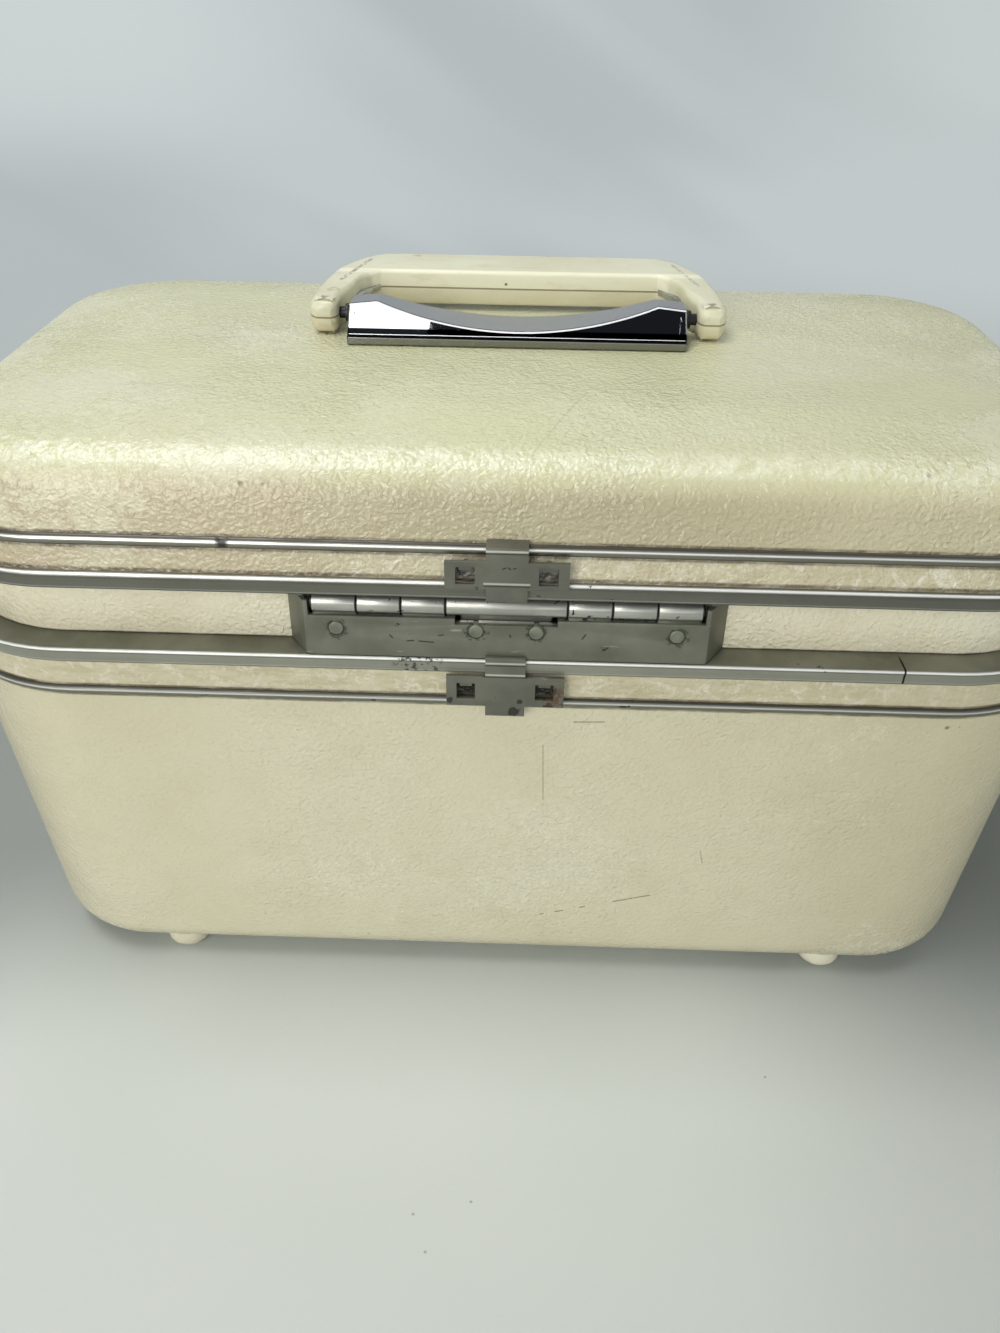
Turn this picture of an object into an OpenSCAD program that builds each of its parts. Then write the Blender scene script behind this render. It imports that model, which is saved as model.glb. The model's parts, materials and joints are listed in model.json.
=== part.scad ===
// A hard-shell cosmetic train case: two moulded shells in metal frames, hinged at
// the back, with a folding carry handle, two front latches, a mirror and a lift-out tray.
// +Z is up, -Y is the front with the latches, +Y the back with the hinge, and the
// origin is on the floor under the middle of the case.

/* [Case] */
// Width over the metal frames
case_w = 365; // [330:1:410]
// Depth from front to back over the metal frames
case_d = 200; // [185:1:230]
// Corner radius of the frames in plan
corner_r = 52; // [46:1:58]
// Wall of the moulded shells
shell_t = 3; // [2.4:0.2:3.4]
// Height of the base shell, from its underside to its bead
base_h = 122.2; // [100:0.2:150]
// Height of the lid shell above its bead
lid_h = 22.7; // [18:0.1:40]
// Rise of the crowned top above its rolled edge
crown_h = 2.4; // [1:0.1:4]
// Radius of the rolled edge of the lid
lid_roll_r = 16.7; // [14:0.1:18]
// Radius of the rolled edge of the base
base_roll_r = 13.7; // [10:0.1:16]

/* [Frames and beads] */
// How far the shells stand in from the frames
shell_inset = 1.6; // [1.4:0.1:3]
// How far the base has drawn in at its rolled edge
base_foot_inset = 12.3; // [8:0.1:14]
// How far the lid has drawn in at its rolled edge
lid_top_inset = 6; // [5:0.2:9]
// Height of the half-round beads
bead_h = 3.1; // [2.6:0.1:5]
// How far the beads stand out from the shells
bead_proud = 1.2; // [0.8:0.1:2]
// Strip of shell between the base bead and the base frame
base_strip_h = 9.6; // [7:0.1:12]
// Strip of shell between the lid frame and the lid bead
lid_strip_h = 7.1; // [5.5:0.1:9]
// Face height of the base frame
base_frame_h = 4.9; // [4:0.1:6]
// Face height of the lid frame
lid_frame_h = 5.4; // [4.8:0.1:8]
// Height of the recess between the frames
recess_h = 19.9; // [19.4:0.1:24]
// Depth of the recess
recess_d = 9.6; // [9.2:0.1:12]
// Thickness of the inlay band in the recess
band_t = 1.2; // [0.8:0.1:1.6]
// Gap between the lid frame and the base below it
parting_gap = 0.3; // [0.2:0.1:0.4]

/* [Hinge] */
// Length of the row of knuckles
hinge_w = 110; // [90:1:130]
// Length of the middle knuckle
mid_knuckle_w = 34.4; // [30:0.2:40]
// Outer radius of the knuckles
knuckle_r = 3; // [2.6:0.1:3.2]
// Radius of the hinge pin
hinge_pin_r = 1.3; // [1:0.1:1.5]
// Radial clearance of pins in their bores
pin_gap = 0.06; // [0.02:0.01:0.1]
// Thickness of the pressed steel parts
steel_t = 1.4; // [1:0.1:1.6]
// Radius of the visible hinge rivets
hinge_rivet_r = 2.25; // [1.8:0.05:2.6]

/* [Joint clips] */
// Width of a joint clip over its two arms
clip_w = 34.4; // [28:0.2:44]
// Width of a clip's middle tab
clip_tab_w = 11.6; // [8:0.2:14]
// Thickness of a clip, and how far it stands proud of the frames
clip_t = 1.2; // [0.8:0.1:1.6]
// Side of a clip's punched holes
clip_hole = 5.4; // [4:0.1:6]

/* [Handle] */
// Length of the handle bracket
bracket_w = 112; // [100:1:130]
// Depth of the bracket at its foot
bracket_d = 32; // [28:1:38]
// Height of the bracket at its ends
bracket_h = 13; // [12:0.5:16]
// Height of the bracket at the middle of its scoop
bracket_mid_h = 5; // [4.5:0.5:8]
// How far the bracket sits forward of the middle of the lid
bracket_forward = 11; // [0:1:16]
// Length of each of the handle's knobs
knob_w = 11; // [10:0.2:14]
// Reach of the handle from its pins to the far side of its grip
handle_reach = 50; // [44:1:60]
// Thickness of the handle
handle_t = 12; // [10:0.5:13]
// Lift of the handle where it lies on the lid, in degrees
handle_lift = 3.3; // [0:0.1:6]

/* [Latches] */
// Distance between the two latches
latch_spacing = 190; // [150:1:210]
// Width of a latch housing
latch_w = 42; // [40:1:50]
// Radius of a latch pin
latch_pin_r = 1.25; // [1:0.05:1.4]
// Radius of a lock cylinder
lock_r = 3.5; // [3:0.1:3.6]

/* [Inside] */
// Thickness of the lining boards
lining_t = 1.2; // [0.8:0.1:1.6]
// Height of the tray
tray_h = 44; // [36:1:48]
// Height of the ledges that carry the tray, above the base shell's underside
ledge_z = 108.5; // [100:0.5:110]
// Wall of the tray
tray_t = 2; // [1.6:0.1:2.6]
// Mirror glass width
mirror_w = 230; // [180:1:236]
// Mirror glass depth
mirror_d = 92; // [70:1:94]
// Mirror glass thickness
mirror_t = 3; // [2:0.5:3]

/* [Feet] */
// Height of the feet
foot_h = 5; // [4:0.5:8]
// Radius of the feet
foot_r = 8; // [6:0.5:9]
// Distance of the feet from the ends of the case
foot_inset_x = 64; // [56:1:90]
// Distance of the feet from its long sides
foot_inset_y = 25; // [24:1:40]

/* [Hidden] */
$fn = 48;

// A small overlap for cuts
eps = 0.01;
// Clearance of flat pieces that lie near each other
gap = 0.3;
// Steps in each rolled edge
roll_steps = 8;

// Heights, from the floor up
base_z = foot_h;
base_bead_z = base_z + base_h;
base_face_z = base_bead_z + bead_h + base_strip_h;
ledge_top_z = base_face_z + base_frame_h;
lid_z = ledge_top_z + recess_h;
lid_face_top_z = lid_z + lid_frame_h;
lid_bead_z = lid_face_top_z + lid_strip_h;
lid_edge_z = lid_bead_z + bead_h + lid_h;

// Half sizes of the straight runs between the corners
run_x = case_w / 2 - corner_r;
run_y = case_d / 2 - corner_r;

// The frames' sections
frame_web_t = 2.2;
tongue_t = 1.5;
tongue_h = 3;
lip_t = 1.8;
groove_gap = 0.1;
// Slope along the lid frame's upper edge
frame_edge = 1.1;
// How far the lid frame's floor reaches in, to just short of the base frame's web
lid_floor_in = recess_d + band_t - 0.4;
bead_gap = 0.2;
web_top_z = lid_z - parting_gap;
web_in = recess_d + band_t + frame_web_t;
base_groove_z = base_face_z + 2.7;
lid_groove_z = lid_z + 2.4;
lining_in = web_in + gap;

function flip(list) = [for (i = [len(list) - 1:-1:0]) list[i]];

// One side of a tub's section: a straight wall from (o_a, z_a) that draws in to
// o_b, rolls over with radius r and ends at the height z_b. Distances o are from the
// frames' outer face, and inside is negative.
function wall_line(o_a, z_a, o_b, z_b, r, rise = 0) =
  let (
    s = sign(z_b - z_a),
    lean = atan((o_a - o_b) / (abs(z_b - z_a) - r)),
    flat_l = corner_r + o_b - r,
    slope = atan(rise * PI / 2 / flat_l),
    last = 90 - slope,
    end = [o_b - r + r * cos(last), z_b - s * r + s * r * sin(last)]
  )
  concat(
    [[o_a, z_a]],
    [for (i = [0:roll_steps])
      let (t = lean + (last - lean) * i / roll_steps)
      [o_b - r + r * cos(t), z_b - s * r + s * r * sin(t)]],
    rise == 0 ? [[-corner_r, z_b]] :
    [for (j = [1:4])
      [end[0] - (corner_r + end[0]) * j / 4, end[1] + rise * sin(90 * j / 4)]]
  );

function crown_z(o_b, z_b, r, rise) =
  let (slope = atan(rise * PI / 2 / (corner_r + o_b - r)))
  z_b - r + r * cos(slope) + rise;

// Height of the flat middle of the lid
lid_top_z = crown_z(-lid_top_inset, lid_edge_z, lid_roll_r, crown_h);

// Carries a section round the case. The section's x is the distance out from the
// frames' outer face, and its y is the height.
module around() {
  for (k = [0, 1]) {
    mirror([0, k, 0])
      translate([-run_x, case_d / 2, 0])
        rotate([90, 0, 90])
          linear_extrude(2 * run_x)
            children();
    mirror([k, 0, 0])
      translate([case_w / 2, run_y, 0])
        rotate([90, 0, 0])
          linear_extrude(2 * run_y)
            children();
    for (m = [0, 1])
      mirror([k, 0, 0])
        mirror([0, m, 0])
          translate([run_x, run_y, 0])
            rotate_extrude(angle = 90)
              translate([corner_r, 0])
                children();
  }
}

// The flat middle of a tub, inside the corner centres
module middle(z, t) {
  translate([-run_x, -run_y, z])
    cube([2 * run_x, 2 * run_y, t]);
}

// A tub or a lid with wall t, open at z_a and closed at z_b
module tub(o_a, z_a, o_b, z_b, r, t, rise = 0) {
  s = sign(z_b - z_a);
  around()
    polygon(concat(
      wall_line(o_a, z_a, o_b, z_b, r, rise),
      flip(wall_line(o_a - t, z_a, o_b - t, z_b - s * t, r - t, rise))
    ));
  top = rise == 0 ? z_b : crown_z(o_b, z_b, r, rise);
  middle(s > 0 ? top - t : top, t);
}

// A cylinder along X
module bar_x(r, x0, x1) {
  translate([x0, 0, 0])
    rotate([0, 90, 0])
      cylinder(r = r, h = x1 - x0);
}

// A block from corner to corner
module block(low, high) {
  translate(low)
    cube(high - low);
}

// Puts children on the back face: y is then the distance in from the frames' face
module on_back() {
  translate([0, case_d / 2, 0])
    mirror([0, 1, 0])
      children();
}

// Puts children on the front face, with y again the distance in
module on_front(x = 0) {
  translate([x, -case_d / 2, 0])
    children();
}

// Base shell, beads, frames and inlay

module base_shell() {
  color("#d9d3b3")
    difference() {
      tub(-shell_inset, base_groove_z, -base_foot_inset, base_z, base_roll_r, shell_t);
      at_feet()
        translate([0, 0, base_z - eps])
          cylinder(r = foot_rivet_r + pin_gap, h = shell_t + 2 * eps);
    }
}

// A strip with a rounded face. Its back lies along a wall that is in_low and in_high
// inside the frames at the strip's lower and upper edge.
module bead(z, in_low, in_high) {
  color("silver")
    around()
      polygon([
        for (i = [0:8])
          let (t = i * 22.5 - 90, share = (1 + sin(t)) / 2)
          [(bead_proud - bead_gap) * cos(t) + bead_gap - in_low - (in_high - in_low) * share,
           z + bead_h * share]
      ]);
}

// How far a tub's wall, as in wall_line, has drawn in at the height z
function drawn_in(o_a, z_a, o_b, z_b, r, z) =
  let (
    lean = atan((o_a - o_b) / (abs(z_b - z_a) - r)),
    across = o_a - o_b + r * (1 - cos(lean)),
    along = abs(z_b - z_a) - r + r * sin(lean)
  )
  across / along * abs(z - z_a) - o_a;

function base_in(z) =
  drawn_in(-shell_inset, base_groove_z, -base_foot_inset, base_z, base_roll_r, z);
function lid_in(z) =
  drawn_in(-shell_inset, lid_groove_z, -lid_top_inset, lid_edge_z, lid_roll_r, z);

module base_bead() {
  bead(base_bead_z, base_in(base_bead_z), base_in(base_bead_z + bead_h));
}

module base_frame() {
  leg_z = base_groove_z - 6;
  leg_o = base_in(leg_z) + shell_t + groove_gap;
  color("#8a8d86")
    difference() {
      around()
        polygon([
          [0, base_face_z], [0, ledge_top_z], [-recess_d - band_t, ledge_top_z],
          [-recess_d - band_t, web_top_z], [-web_in + tongue_t, web_top_z],
          [-web_in + tongue_t, web_top_z + tongue_h + parting_gap],
          [-web_in, web_top_z + tongue_h + parting_gap],
          [-web_in, base_groove_z], [-leg_o - lip_t, base_groove_z],
          [-leg_o - lip_t, leg_z], [-leg_o, leg_z], [-leg_o, base_groove_z],
          [-shell_inset + groove_gap, base_groove_z],
          [-shell_inset + groove_gap, base_face_z]
        ]);
      anchor_holes();
    }
}

module recess_band() {
  color("#dcd6b8")
    difference() {
      around()
        polygon([
          [-recess_d - band_t, ledge_top_z], [-recess_d, ledge_top_z],
          [-recess_d, web_top_z], [-recess_d - band_t, web_top_z]
        ]);
      anchor_holes();
    }
}

// Rivets that hold the hinge and the latch housings to the base frame's web
anchor_r = 1.6;
anchor_z = ledge_top_z + 7;
hinge_anchor_x = [17 - hinge_w / 2, 0, hinge_w / 2 - 17];
latch_anchor_x = 16.5;
latch_anchor_z = anchor_z + 4;

module at_anchors() {
  on_back()
    for (x = hinge_anchor_x)
      translate([x, 0, anchor_z])
        children();
  for (side = [-1, 1], x = [-latch_anchor_x, latch_anchor_x])
    on_front(side * latch_spacing / 2)
      translate([x, 0, latch_anchor_z])
        children();
}

module anchor_holes() {
  at_anchors()
    translate([0, recess_d - eps, 0])
      rotate([-90, 0, 0])
        cylinder(r = anchor_r + pin_gap, h = band_t + frame_web_t + 2 * eps);
}

module anchor_rivets() {
  color("#9a9a92")
    at_anchors()
      translate([0, recess_d - steel_t, 0])
        rotate([-90, 0, 0]) {
          cylinder(r = anchor_r, h = web_in - recess_d + steel_t);
          translate([0, 0, -0.9])
            cylinder(r1 = anchor_r, r2 = anchor_r + 0.9, h = 0.9);
        }
}

// Joint clips, which bridge the ends of the frame and the bead

clip_hole_x = 11.5;

// A clip whose arms run from z0 to z1, with its tab from tab0 to tab1 and lips that
// fold inwards at the tab's ends
module clip(z0, z1, tab0, tab1, low_lip, high_lip, barb_in) {
  barb_z = (z0 + z1) / 2 + clip_hole / 4;
  difference() {
    union() {
      block([-clip_w / 2, -clip_t, z0], [clip_w / 2, 0, z1]);
      block([-clip_tab_w / 2, -clip_t, tab0], [clip_tab_w / 2, 0, tab1]);
      block([-clip_tab_w / 2, -clip_t, tab1 - clip_t], [clip_tab_w / 2, high_lip, tab1]);
      block([-clip_tab_w / 2, -clip_t, tab0], [clip_tab_w / 2, low_lip, tab0 + clip_t]);
    }
    for (x = [-clip_hole_x, clip_hole_x])
      translate([x - clip_hole / 2, -clip_t - eps, (z0 + z1 - clip_hole) / 2])
        cube([clip_hole, clip_t + 2 * eps, clip_hole]);
  }
  for (x = [-clip_hole_x, clip_hole_x])
    translate([x, 0, barb_z])
      linear_extrude(clip_hole / 4 + 0.4)
        polygon([[-1.8, -clip_t / 2], [1.8, -clip_t / 2], [0.3, barb_in], [-0.3, barb_in]]);
}

module lid_joint_clip() {
  top = lid_bead_z + bead_h + clip_t + 0.1;
  color("#7d7f7a")
    on_back()
      clip(lid_face_top_z - 1.3, lid_bead_z, lid_z + 0.2, top, 0,
        lid_in(lid_bead_z + bead_h) - 0.1, lid_in((lid_face_top_z + lid_bead_z) / 2) - 0.1);
}

module base_joint_clip() {
  low = base_bead_z - clip_t - 0.1;
  color("#7d7f7a")
    on_back()
      clip(base_bead_z + 2.2, base_face_z - 0.2, low, ledge_top_z + clip_t + 0.1,
        base_in(low + clip_t) - 0.1, 0.2, base_in(base_face_z) - 0.1);
}

// Hinge: a painted pan on the base, two leaves of rolled knuckles and a pin

hinge_v = knuckle_r;
hinge_axis_z = lid_z - knuckle_r - gap;
knuckle_gap = 0.25;
// Where each knuckle ends, from the middle out
knuckle_step = (hinge_w - mid_knuckle_w) / 6;
knuckle_ends = [for (i = [0:3]) mid_knuckle_w / 2 + i * knuckle_step];
pan_v = 0.4;
pan_slope = 6.2;
pan_half = hinge_w / 2 + 2.4;
pan_top_z = hinge_axis_z - knuckle_r - gap;
// The pan's ears stay under the circle that the lid frame's underside turns on
pan_ear_h = sqrt(pow(lid_z - hinge_axis_z - gap, 2) - pow(hinge_v - pan_v, 2));
notch_half = mid_knuckle_w / 2 - 2.6;
notch_drop = 1.9;
leaf_v = pan_v + steel_t;
hinge_rivet_x = [6.5 - hinge_w / 2, -8.6, 8.6, hinge_w / 2 - 6.5];
hinge_rivet_z = hinge_axis_z - 7.4;
stop_l = 6.2;

module knuckle(x0, x1) {
  translate([0, hinge_v, hinge_axis_z])
    bar_x(knuckle_r, x0 + knuckle_gap / 2, x1 - knuckle_gap / 2);
}

module pin_bore() {
  translate([0, hinge_v, hinge_axis_z])
    bar_x(hinge_pin_r + pin_gap, -hinge_w / 2 - 1, hinge_w / 2 + 1);
}

module hinge_rivet_holes() {
  for (x = hinge_rivet_x)
    translate([x, pan_v - eps, hinge_rivet_z])
      rotate([-90, 0, 0])
        cylinder(r = hinge_rivet_r + pin_gap, h = 2 * steel_t + 2 * eps);
}

module hinge_pan() {
  foot = pan_half + pan_slope;
  color("#76786f")
    on_back()
      difference() {
        translate([0, 0, ledge_top_z + gap])
          linear_extrude(web_top_z - ledge_top_z - 2 * gap)
            polygon([
              [-foot, recess_d], [-pan_half, pan_v], [pan_half, pan_v], [foot, recess_d],
              [foot - steel_t * 1.2, recess_d], [pan_half - steel_t / 2, leaf_v],
              [-pan_half + steel_t / 2, leaf_v], [-foot + steel_t * 1.2, recess_d]
            ]);
        block([-pan_half + 1.2, -1, pan_top_z], [pan_half - 1.2, leaf_v + eps, lid_z]);
        block([-foot, -1, hinge_axis_z + pan_ear_h], [foot, hinge_v + 0.2, lid_z]);
        block([-notch_half, -1, pan_top_z - notch_drop], [notch_half, leaf_v + eps, lid_z]);
        hinge_rivet_holes();
      }
}

module hinge_base_leaf() {
  low = ledge_top_z + gap + steel_t;
  color("#b9b9b2")
    on_back()
      difference() {
        union() {
          block([-hinge_w / 2, leaf_v, low], [hinge_w / 2, leaf_v + steel_t, pan_top_z]);
          block([-hinge_w / 2, leaf_v, low], [hinge_w / 2, recess_d, low + steel_t]);
          block([-hinge_w / 2, recess_d - steel_t, low], [hinge_w / 2, recess_d, anchor_z + 4]);
          for (s = [-1, 1], k = [0, 2]) {
            x0 = s > 0 ? knuckle_ends[k] : -knuckle_ends[k + 1];
            x1 = s > 0 ? knuckle_ends[k + 1] : -knuckle_ends[k];
            knuckle(x0, x1);
            block([x0 + knuckle_gap / 2, leaf_v, pan_top_z - 1],
              [x1 - knuckle_gap / 2, leaf_v + steel_t, hinge_axis_z]);
          }
        }
        pin_bore();
        block([-notch_half, leaf_v - eps, pan_top_z - notch_drop],
          [notch_half, leaf_v + steel_t + eps, pan_top_z + eps]);
        hinge_rivet_holes();
        for (x = hinge_anchor_x)
          translate([x, recess_d + eps, anchor_z])
            rotate([90, 0, 0])
              cylinder(r = anchor_r + pin_gap, h = steel_t + 2 * eps);
      }
}

module hinge_lid_leaf() {
  top = lid_z;
  strip_v = hinge_v + knuckle_r + 2 * gap;
  color("#b9b9b2")
    on_back()
      difference() {
        union() {
          block([-hinge_w / 2, strip_v, top - steel_t], [hinge_w / 2, recess_d - 0.2, top]);
          for (x = [[-knuckle_ends[2], -knuckle_ends[1]], [-knuckle_ends[0], knuckle_ends[0]],
                    [knuckle_ends[1], knuckle_ends[2]]]) {
            knuckle(x[0], x[1]);
            block([x[0] + knuckle_gap / 2, hinge_v, top - steel_t - gap],
              [x[1] - knuckle_gap / 2, strip_v + eps, top]);
          }
          block([-notch_half + 1.6, hinge_v + 0.5, hinge_axis_z - stop_l],
            [notch_half - 1.6, hinge_v + 0.5 + 1.2, hinge_axis_z]);
        }
        pin_bore();
        for (x = leaf_rivet_x)
          translate([x, leaf_rivet_v, top - steel_t - eps])
            cylinder(r = leaf_rivet_r + pin_gap, h = steel_t + 2 * eps);
      }
}

leaf_rivet_x = [5 - hinge_w / 2, -23, 23, hinge_w / 2 - 5];
leaf_rivet_r = 1.1;
leaf_rivet_v = 8;

module lid_leaf_rivets() {
  color("#9a9a92")
    on_back()
      for (x = leaf_rivet_x)
        translate([x, leaf_rivet_v, lid_z - steel_t]) {
          translate([0, 0, -0.7])
            cylinder(r = leaf_rivet_r + 0.3, h = 0.7);
          cylinder(r = leaf_rivet_r, h = steel_t + lid_groove_z - lid_z);
        }
}

module hinge_pin() {
  head = 0.8;
  color("#5f6060")
    on_back()
      translate([0, hinge_v, hinge_axis_z]) {
        bar_x(hinge_pin_r, -hinge_w / 2 - head, hinge_w / 2 + head);
        for (s = [-1, 1])
          bar_x(hinge_pin_r + 0.6, s > 0 ? hinge_w / 2 : -hinge_w / 2 - head,
            s > 0 ? hinge_w / 2 + head : -hinge_w / 2);
      }
}

module hinge_rivets() {
  color("#8b8d80")
    on_back()
      for (x = hinge_rivet_x)
        translate([x, pan_v - 0.15, hinge_rivet_z])
          rotate([-90, 0, 0])
            cylinder(r = hinge_rivet_r, h = 2 * steel_t + 0.15);
}

// Feet

foot_rivet_r = 1.6;
foot_flat_r = foot_r * 0.55;
// Floor of the hole that takes a foot's rivet head, and how far a foot goes up before
// it is cut to the shell
foot_floor_z = 2.2;
foot_top_z = base_z + 2.6;

module at_feet() {
  for (x = [-1, 1], y = [-1, 1])
    translate([x * (case_w / 2 - foot_inset_x), y * (case_d / 2 - foot_inset_y), 0])
      children();
}

module feet() {
  round_r = foot_r - foot_flat_r;
  color("#cfc9a8")
    difference() {
      at_feet()
        rotate_extrude()
          polygon(concat(
            [[foot_rivet_r + pin_gap, foot_top_z], [foot_rivet_r + pin_gap, foot_floor_z],
             [foot_rivet_r + 1.2, foot_floor_z], [foot_rivet_r + 1.2, 0]],
            [for (i = [0:6])
              [foot_flat_r + round_r * sin(15 * i), round_r * (1 - cos(15 * i))]],
            [[foot_r, foot_top_z]]
          ));
      around()
        polygon(concat(
          wall_line(-shell_inset, base_groove_z, -base_foot_inset, base_z, base_roll_r),
          [[-corner_r, base_groove_z]]
        ));
      middle(base_z, base_roll_r);
    }
}

module foot_rivets() {
  color("#9a9a92")
    at_feet()
      translate([0, 0, foot_floor_z]) {
        translate([0, 0, -1])
          cylinder(r = foot_rivet_r + 1, h = 1);
        cylinder(r = foot_rivet_r, h = base_z + shell_t - foot_floor_z);
      }
}

// Inside of the base

base_floor_z = base_z + shell_t + gap;
lining_foot_in = base_foot_inset + shell_t + gap;

module base_lining() {
  color("#b9a98f")
    tub(-lining_in, web_top_z, -lining_foot_in, base_floor_z,
      base_roll_r - shell_t - gap, lining_t);
}

// How far in the lining's inner face lies at a height
lining_lean = (lining_foot_in - lining_in) / (web_top_z - base_floor_z - base_roll_r + shell_t + gap);
function lining_face(z) = lining_in + lining_t + (web_top_z - z) * lining_lean;

tray_in = lining_in + lining_t + 2;
tray_z = base_z + ledge_z + gap;
tray_roll = 4;

// The ledges' section, an angle fixed to the lining
ledge_drop = 14;
ledge_w = 11;
ledge_t = 3;
ledge_gap = 0.1;

module tray_ledges() {
  side = case_w / 2 - lining_face(base_z + ledge_z - ledge_drop) - ledge_gap;
  color("#a8987e")
    for (k = [0, 1])
      mirror([k, 0, 0])
        translate([side, run_y, base_z + ledge_z])
          rotate([90, 0, 0])
            linear_extrude(2 * run_y)
              polygon([
                [0, -ledge_drop], [0, 0], [-ledge_w, 0], [-ledge_w, -ledge_t],
                [-ledge_t, -ledge_t], [-ledge_t, -ledge_drop]
              ]);
}

// Tray with one long well and three short ones. The long divider, with the slot for
// the hand, is a board of its own that drops in between the ends and stands on the floor.

divider_y = 14;
divider_x = 56;
long_divider_drop = 2;
short_divider_drop = 8;
slot_r = 8;
slot_half = 24;
slot_drop = 14;
mat_t = 1;
mat_gap = 0.5;

tray_floor_z = tray_z + tray_t;
tray_top_z = tray_z + tray_h;
// How far the tray's walls lean in on the way down
tray_lean = 1;

module tray() {
  in_y = case_d / 2 - tray_in - tray_t + 0.5;
  color("#e4ddc4") {
    tub(-tray_in, tray_top_z, -tray_in - tray_lean, tray_z, tray_roll, tray_t);
    for (x = [-divider_x, divider_x])
      block([x - tray_t / 2, -in_y, tray_floor_z - eps],
        [x + tray_t / 2, divider_y - tray_t / 2, tray_top_z - short_divider_drop]);
  }
}

module tray_divider() {
  top_x = case_w / 2 - tray_in - tray_t - gap;
  low_x = top_x - tray_lean;
  top = tray_top_z - long_divider_drop;
  color("#e4ddc4")
    difference() {
      translate([0, divider_y + tray_t / 2, 0])
        rotate([90, 0, 0])
          linear_extrude(tray_t)
            polygon([
              [tray_roll - low_x, tray_floor_z], [low_x - tray_roll, tray_floor_z],
              [low_x, tray_floor_z + tray_roll], [top_x, top],
              [-top_x, top], [-low_x, tray_floor_z + tray_roll]
            ]);
      finger_slot(tray_top_z - slot_drop);
    }
}

module finger_slot(z) {
  translate([0, divider_y, z])
    rotate([90, 0, 0])
      for (x = [-slot_half, slot_half])
        translate([x, 0, -tray_t])
          cylinder(r = slot_r, h = 2 * tray_t);
  translate([-slot_half, divider_y - tray_t, z - slot_r])
    cube([2 * slot_half, 2 * tray_t, 2 * slot_r]);
}

module tray_mats() {
  mat_z = tray_floor_z;
  mat_in = tray_in + tray_t + tray_roll + 1;
  edge_x = case_w / 2 - mat_in;
  edge_y = case_d / 2 - mat_in;
  half = tray_t / 2 + mat_gap;
  corner = corner_r - mat_in;
  color("#8d3b46")
    intersection() {
      union() {
        block([-edge_x, divider_y + half, mat_z], [edge_x, edge_y, mat_z + mat_t]);
        block([-edge_x, -edge_y, mat_z], [-divider_x - half, divider_y - half, mat_z + mat_t]);
        block([-divider_x + half, -edge_y, mat_z], [divider_x - half, divider_y - half, mat_z + mat_t]);
        block([divider_x + half, -edge_y, mat_z], [edge_x, divider_y - half, mat_z + mat_t]);
      }
      union() {
        block([-edge_x, -edge_y + corner, tray_z], [edge_x, edge_y - corner, mat_z + 2 * mat_t]);
        block([-edge_x + corner, -edge_y, tray_z], [edge_x - corner, edge_y, mat_z + 2 * mat_t]);
        for (x = [-1, 1], y = [-1, 1])
          translate([x * (edge_x - corner), y * (edge_y - corner), tray_z])
            cylinder(r = corner, h = tray_t + 2 * mat_t);
      }
    }
}

// Lid

module lid_shell() {
  color("#d9d3b3")
    difference() {
      tub(-shell_inset, lid_groove_z, -lid_top_inset, lid_edge_z, lid_roll_r, shell_t, crown_h);
      at_bracket_screws()
        translate([0, 0, -shell_t - eps])
          cylinder(r = screw_r + pin_gap, h = shell_t + 2 * eps);
      at_mirror_screws()
        translate([0, 0, lid_top_z - shell_t - eps])
          cylinder(r = mirror_screw_r + pin_gap, h = 1.7);
    }
}

module lid_bead() {
  bead(lid_bead_z, lid_in(lid_bead_z), lid_in(lid_bead_z + bead_h));
}

module lid_frame() {
  leg_z = lid_groove_z + 3.6;
  leg_o = lid_in(leg_z) + shell_t + groove_gap;
  color("#8a8d86")
    difference() {
      around()
        polygon([
          [0, lid_z], [0, lid_face_top_z - frame_edge], [-frame_edge, lid_face_top_z],
          [-shell_inset + groove_gap, lid_face_top_z],
          [-shell_inset + groove_gap, lid_groove_z], [-leg_o, lid_groove_z],
          [-leg_o, leg_z], [-leg_o - lip_t, leg_z], [-leg_o - lip_t, lid_groove_z],
          [-lid_floor_in, lid_groove_z], [-lid_floor_in, lid_z]
        ]);
      on_back()
        for (x = leaf_rivet_x)
          translate([x, leaf_rivet_v, lid_z - eps])
            cylinder(r = leaf_rivet_r + pin_gap, h = lid_groove_z - lid_z + 2 * eps);
      at_strike_rivets()
        translate([0, 0, lid_z - eps])
          cylinder(r = strike_rivet_r + pin_gap, h = lid_groove_z - lid_z + 2 * eps);
    }
}

// The lining leaves room for the bracket's backing plate above it
plate_t = 1.6;
plate_in_x = 6;
plate_in_y = 2;
lid_lining_drop = shell_t + plate_t + 0.8;
lid_lining_z = lid_groove_z + 4;

module lid_lining() {
  color("#b9a98f")
    difference() {
      tub(-lid_in(lid_lining_z) - shell_t - gap, lid_lining_z,
        -lid_top_inset - shell_t - gap, lid_edge_z - lid_lining_drop,
        lid_roll_r - shell_t - gap, lining_t, crown_h);
      at_bracket_screws()
        translate([0, 0, -lid_lining_drop - lining_t - 2])
          cylinder(r = screw_head_r + 0.4, h = lining_t + 4);
      at_mirror_screws()
        translate([0, 0, lid_top_z - lid_lining_drop - lining_t - 2])
          cylinder(r = mirror_screw_r + 0.4, h = lining_t + 4);
    }
}

// Mirror on the lid's lining

mirror_border = 5;
mirror_top_z = lid_top_z - lid_lining_drop - lining_t - gap;
mirror_frame_t = mirror_t + 1.6;
mirror_screw_r = 1.4;

module at_mirror_screws() {
  for (x = [-1, 1], y = [-1, 1])
    translate([x * (mirror_w / 2 + mirror_border / 2 + 0.3), y * (mirror_d / 2 - 6), 0])
      children();
}

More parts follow.
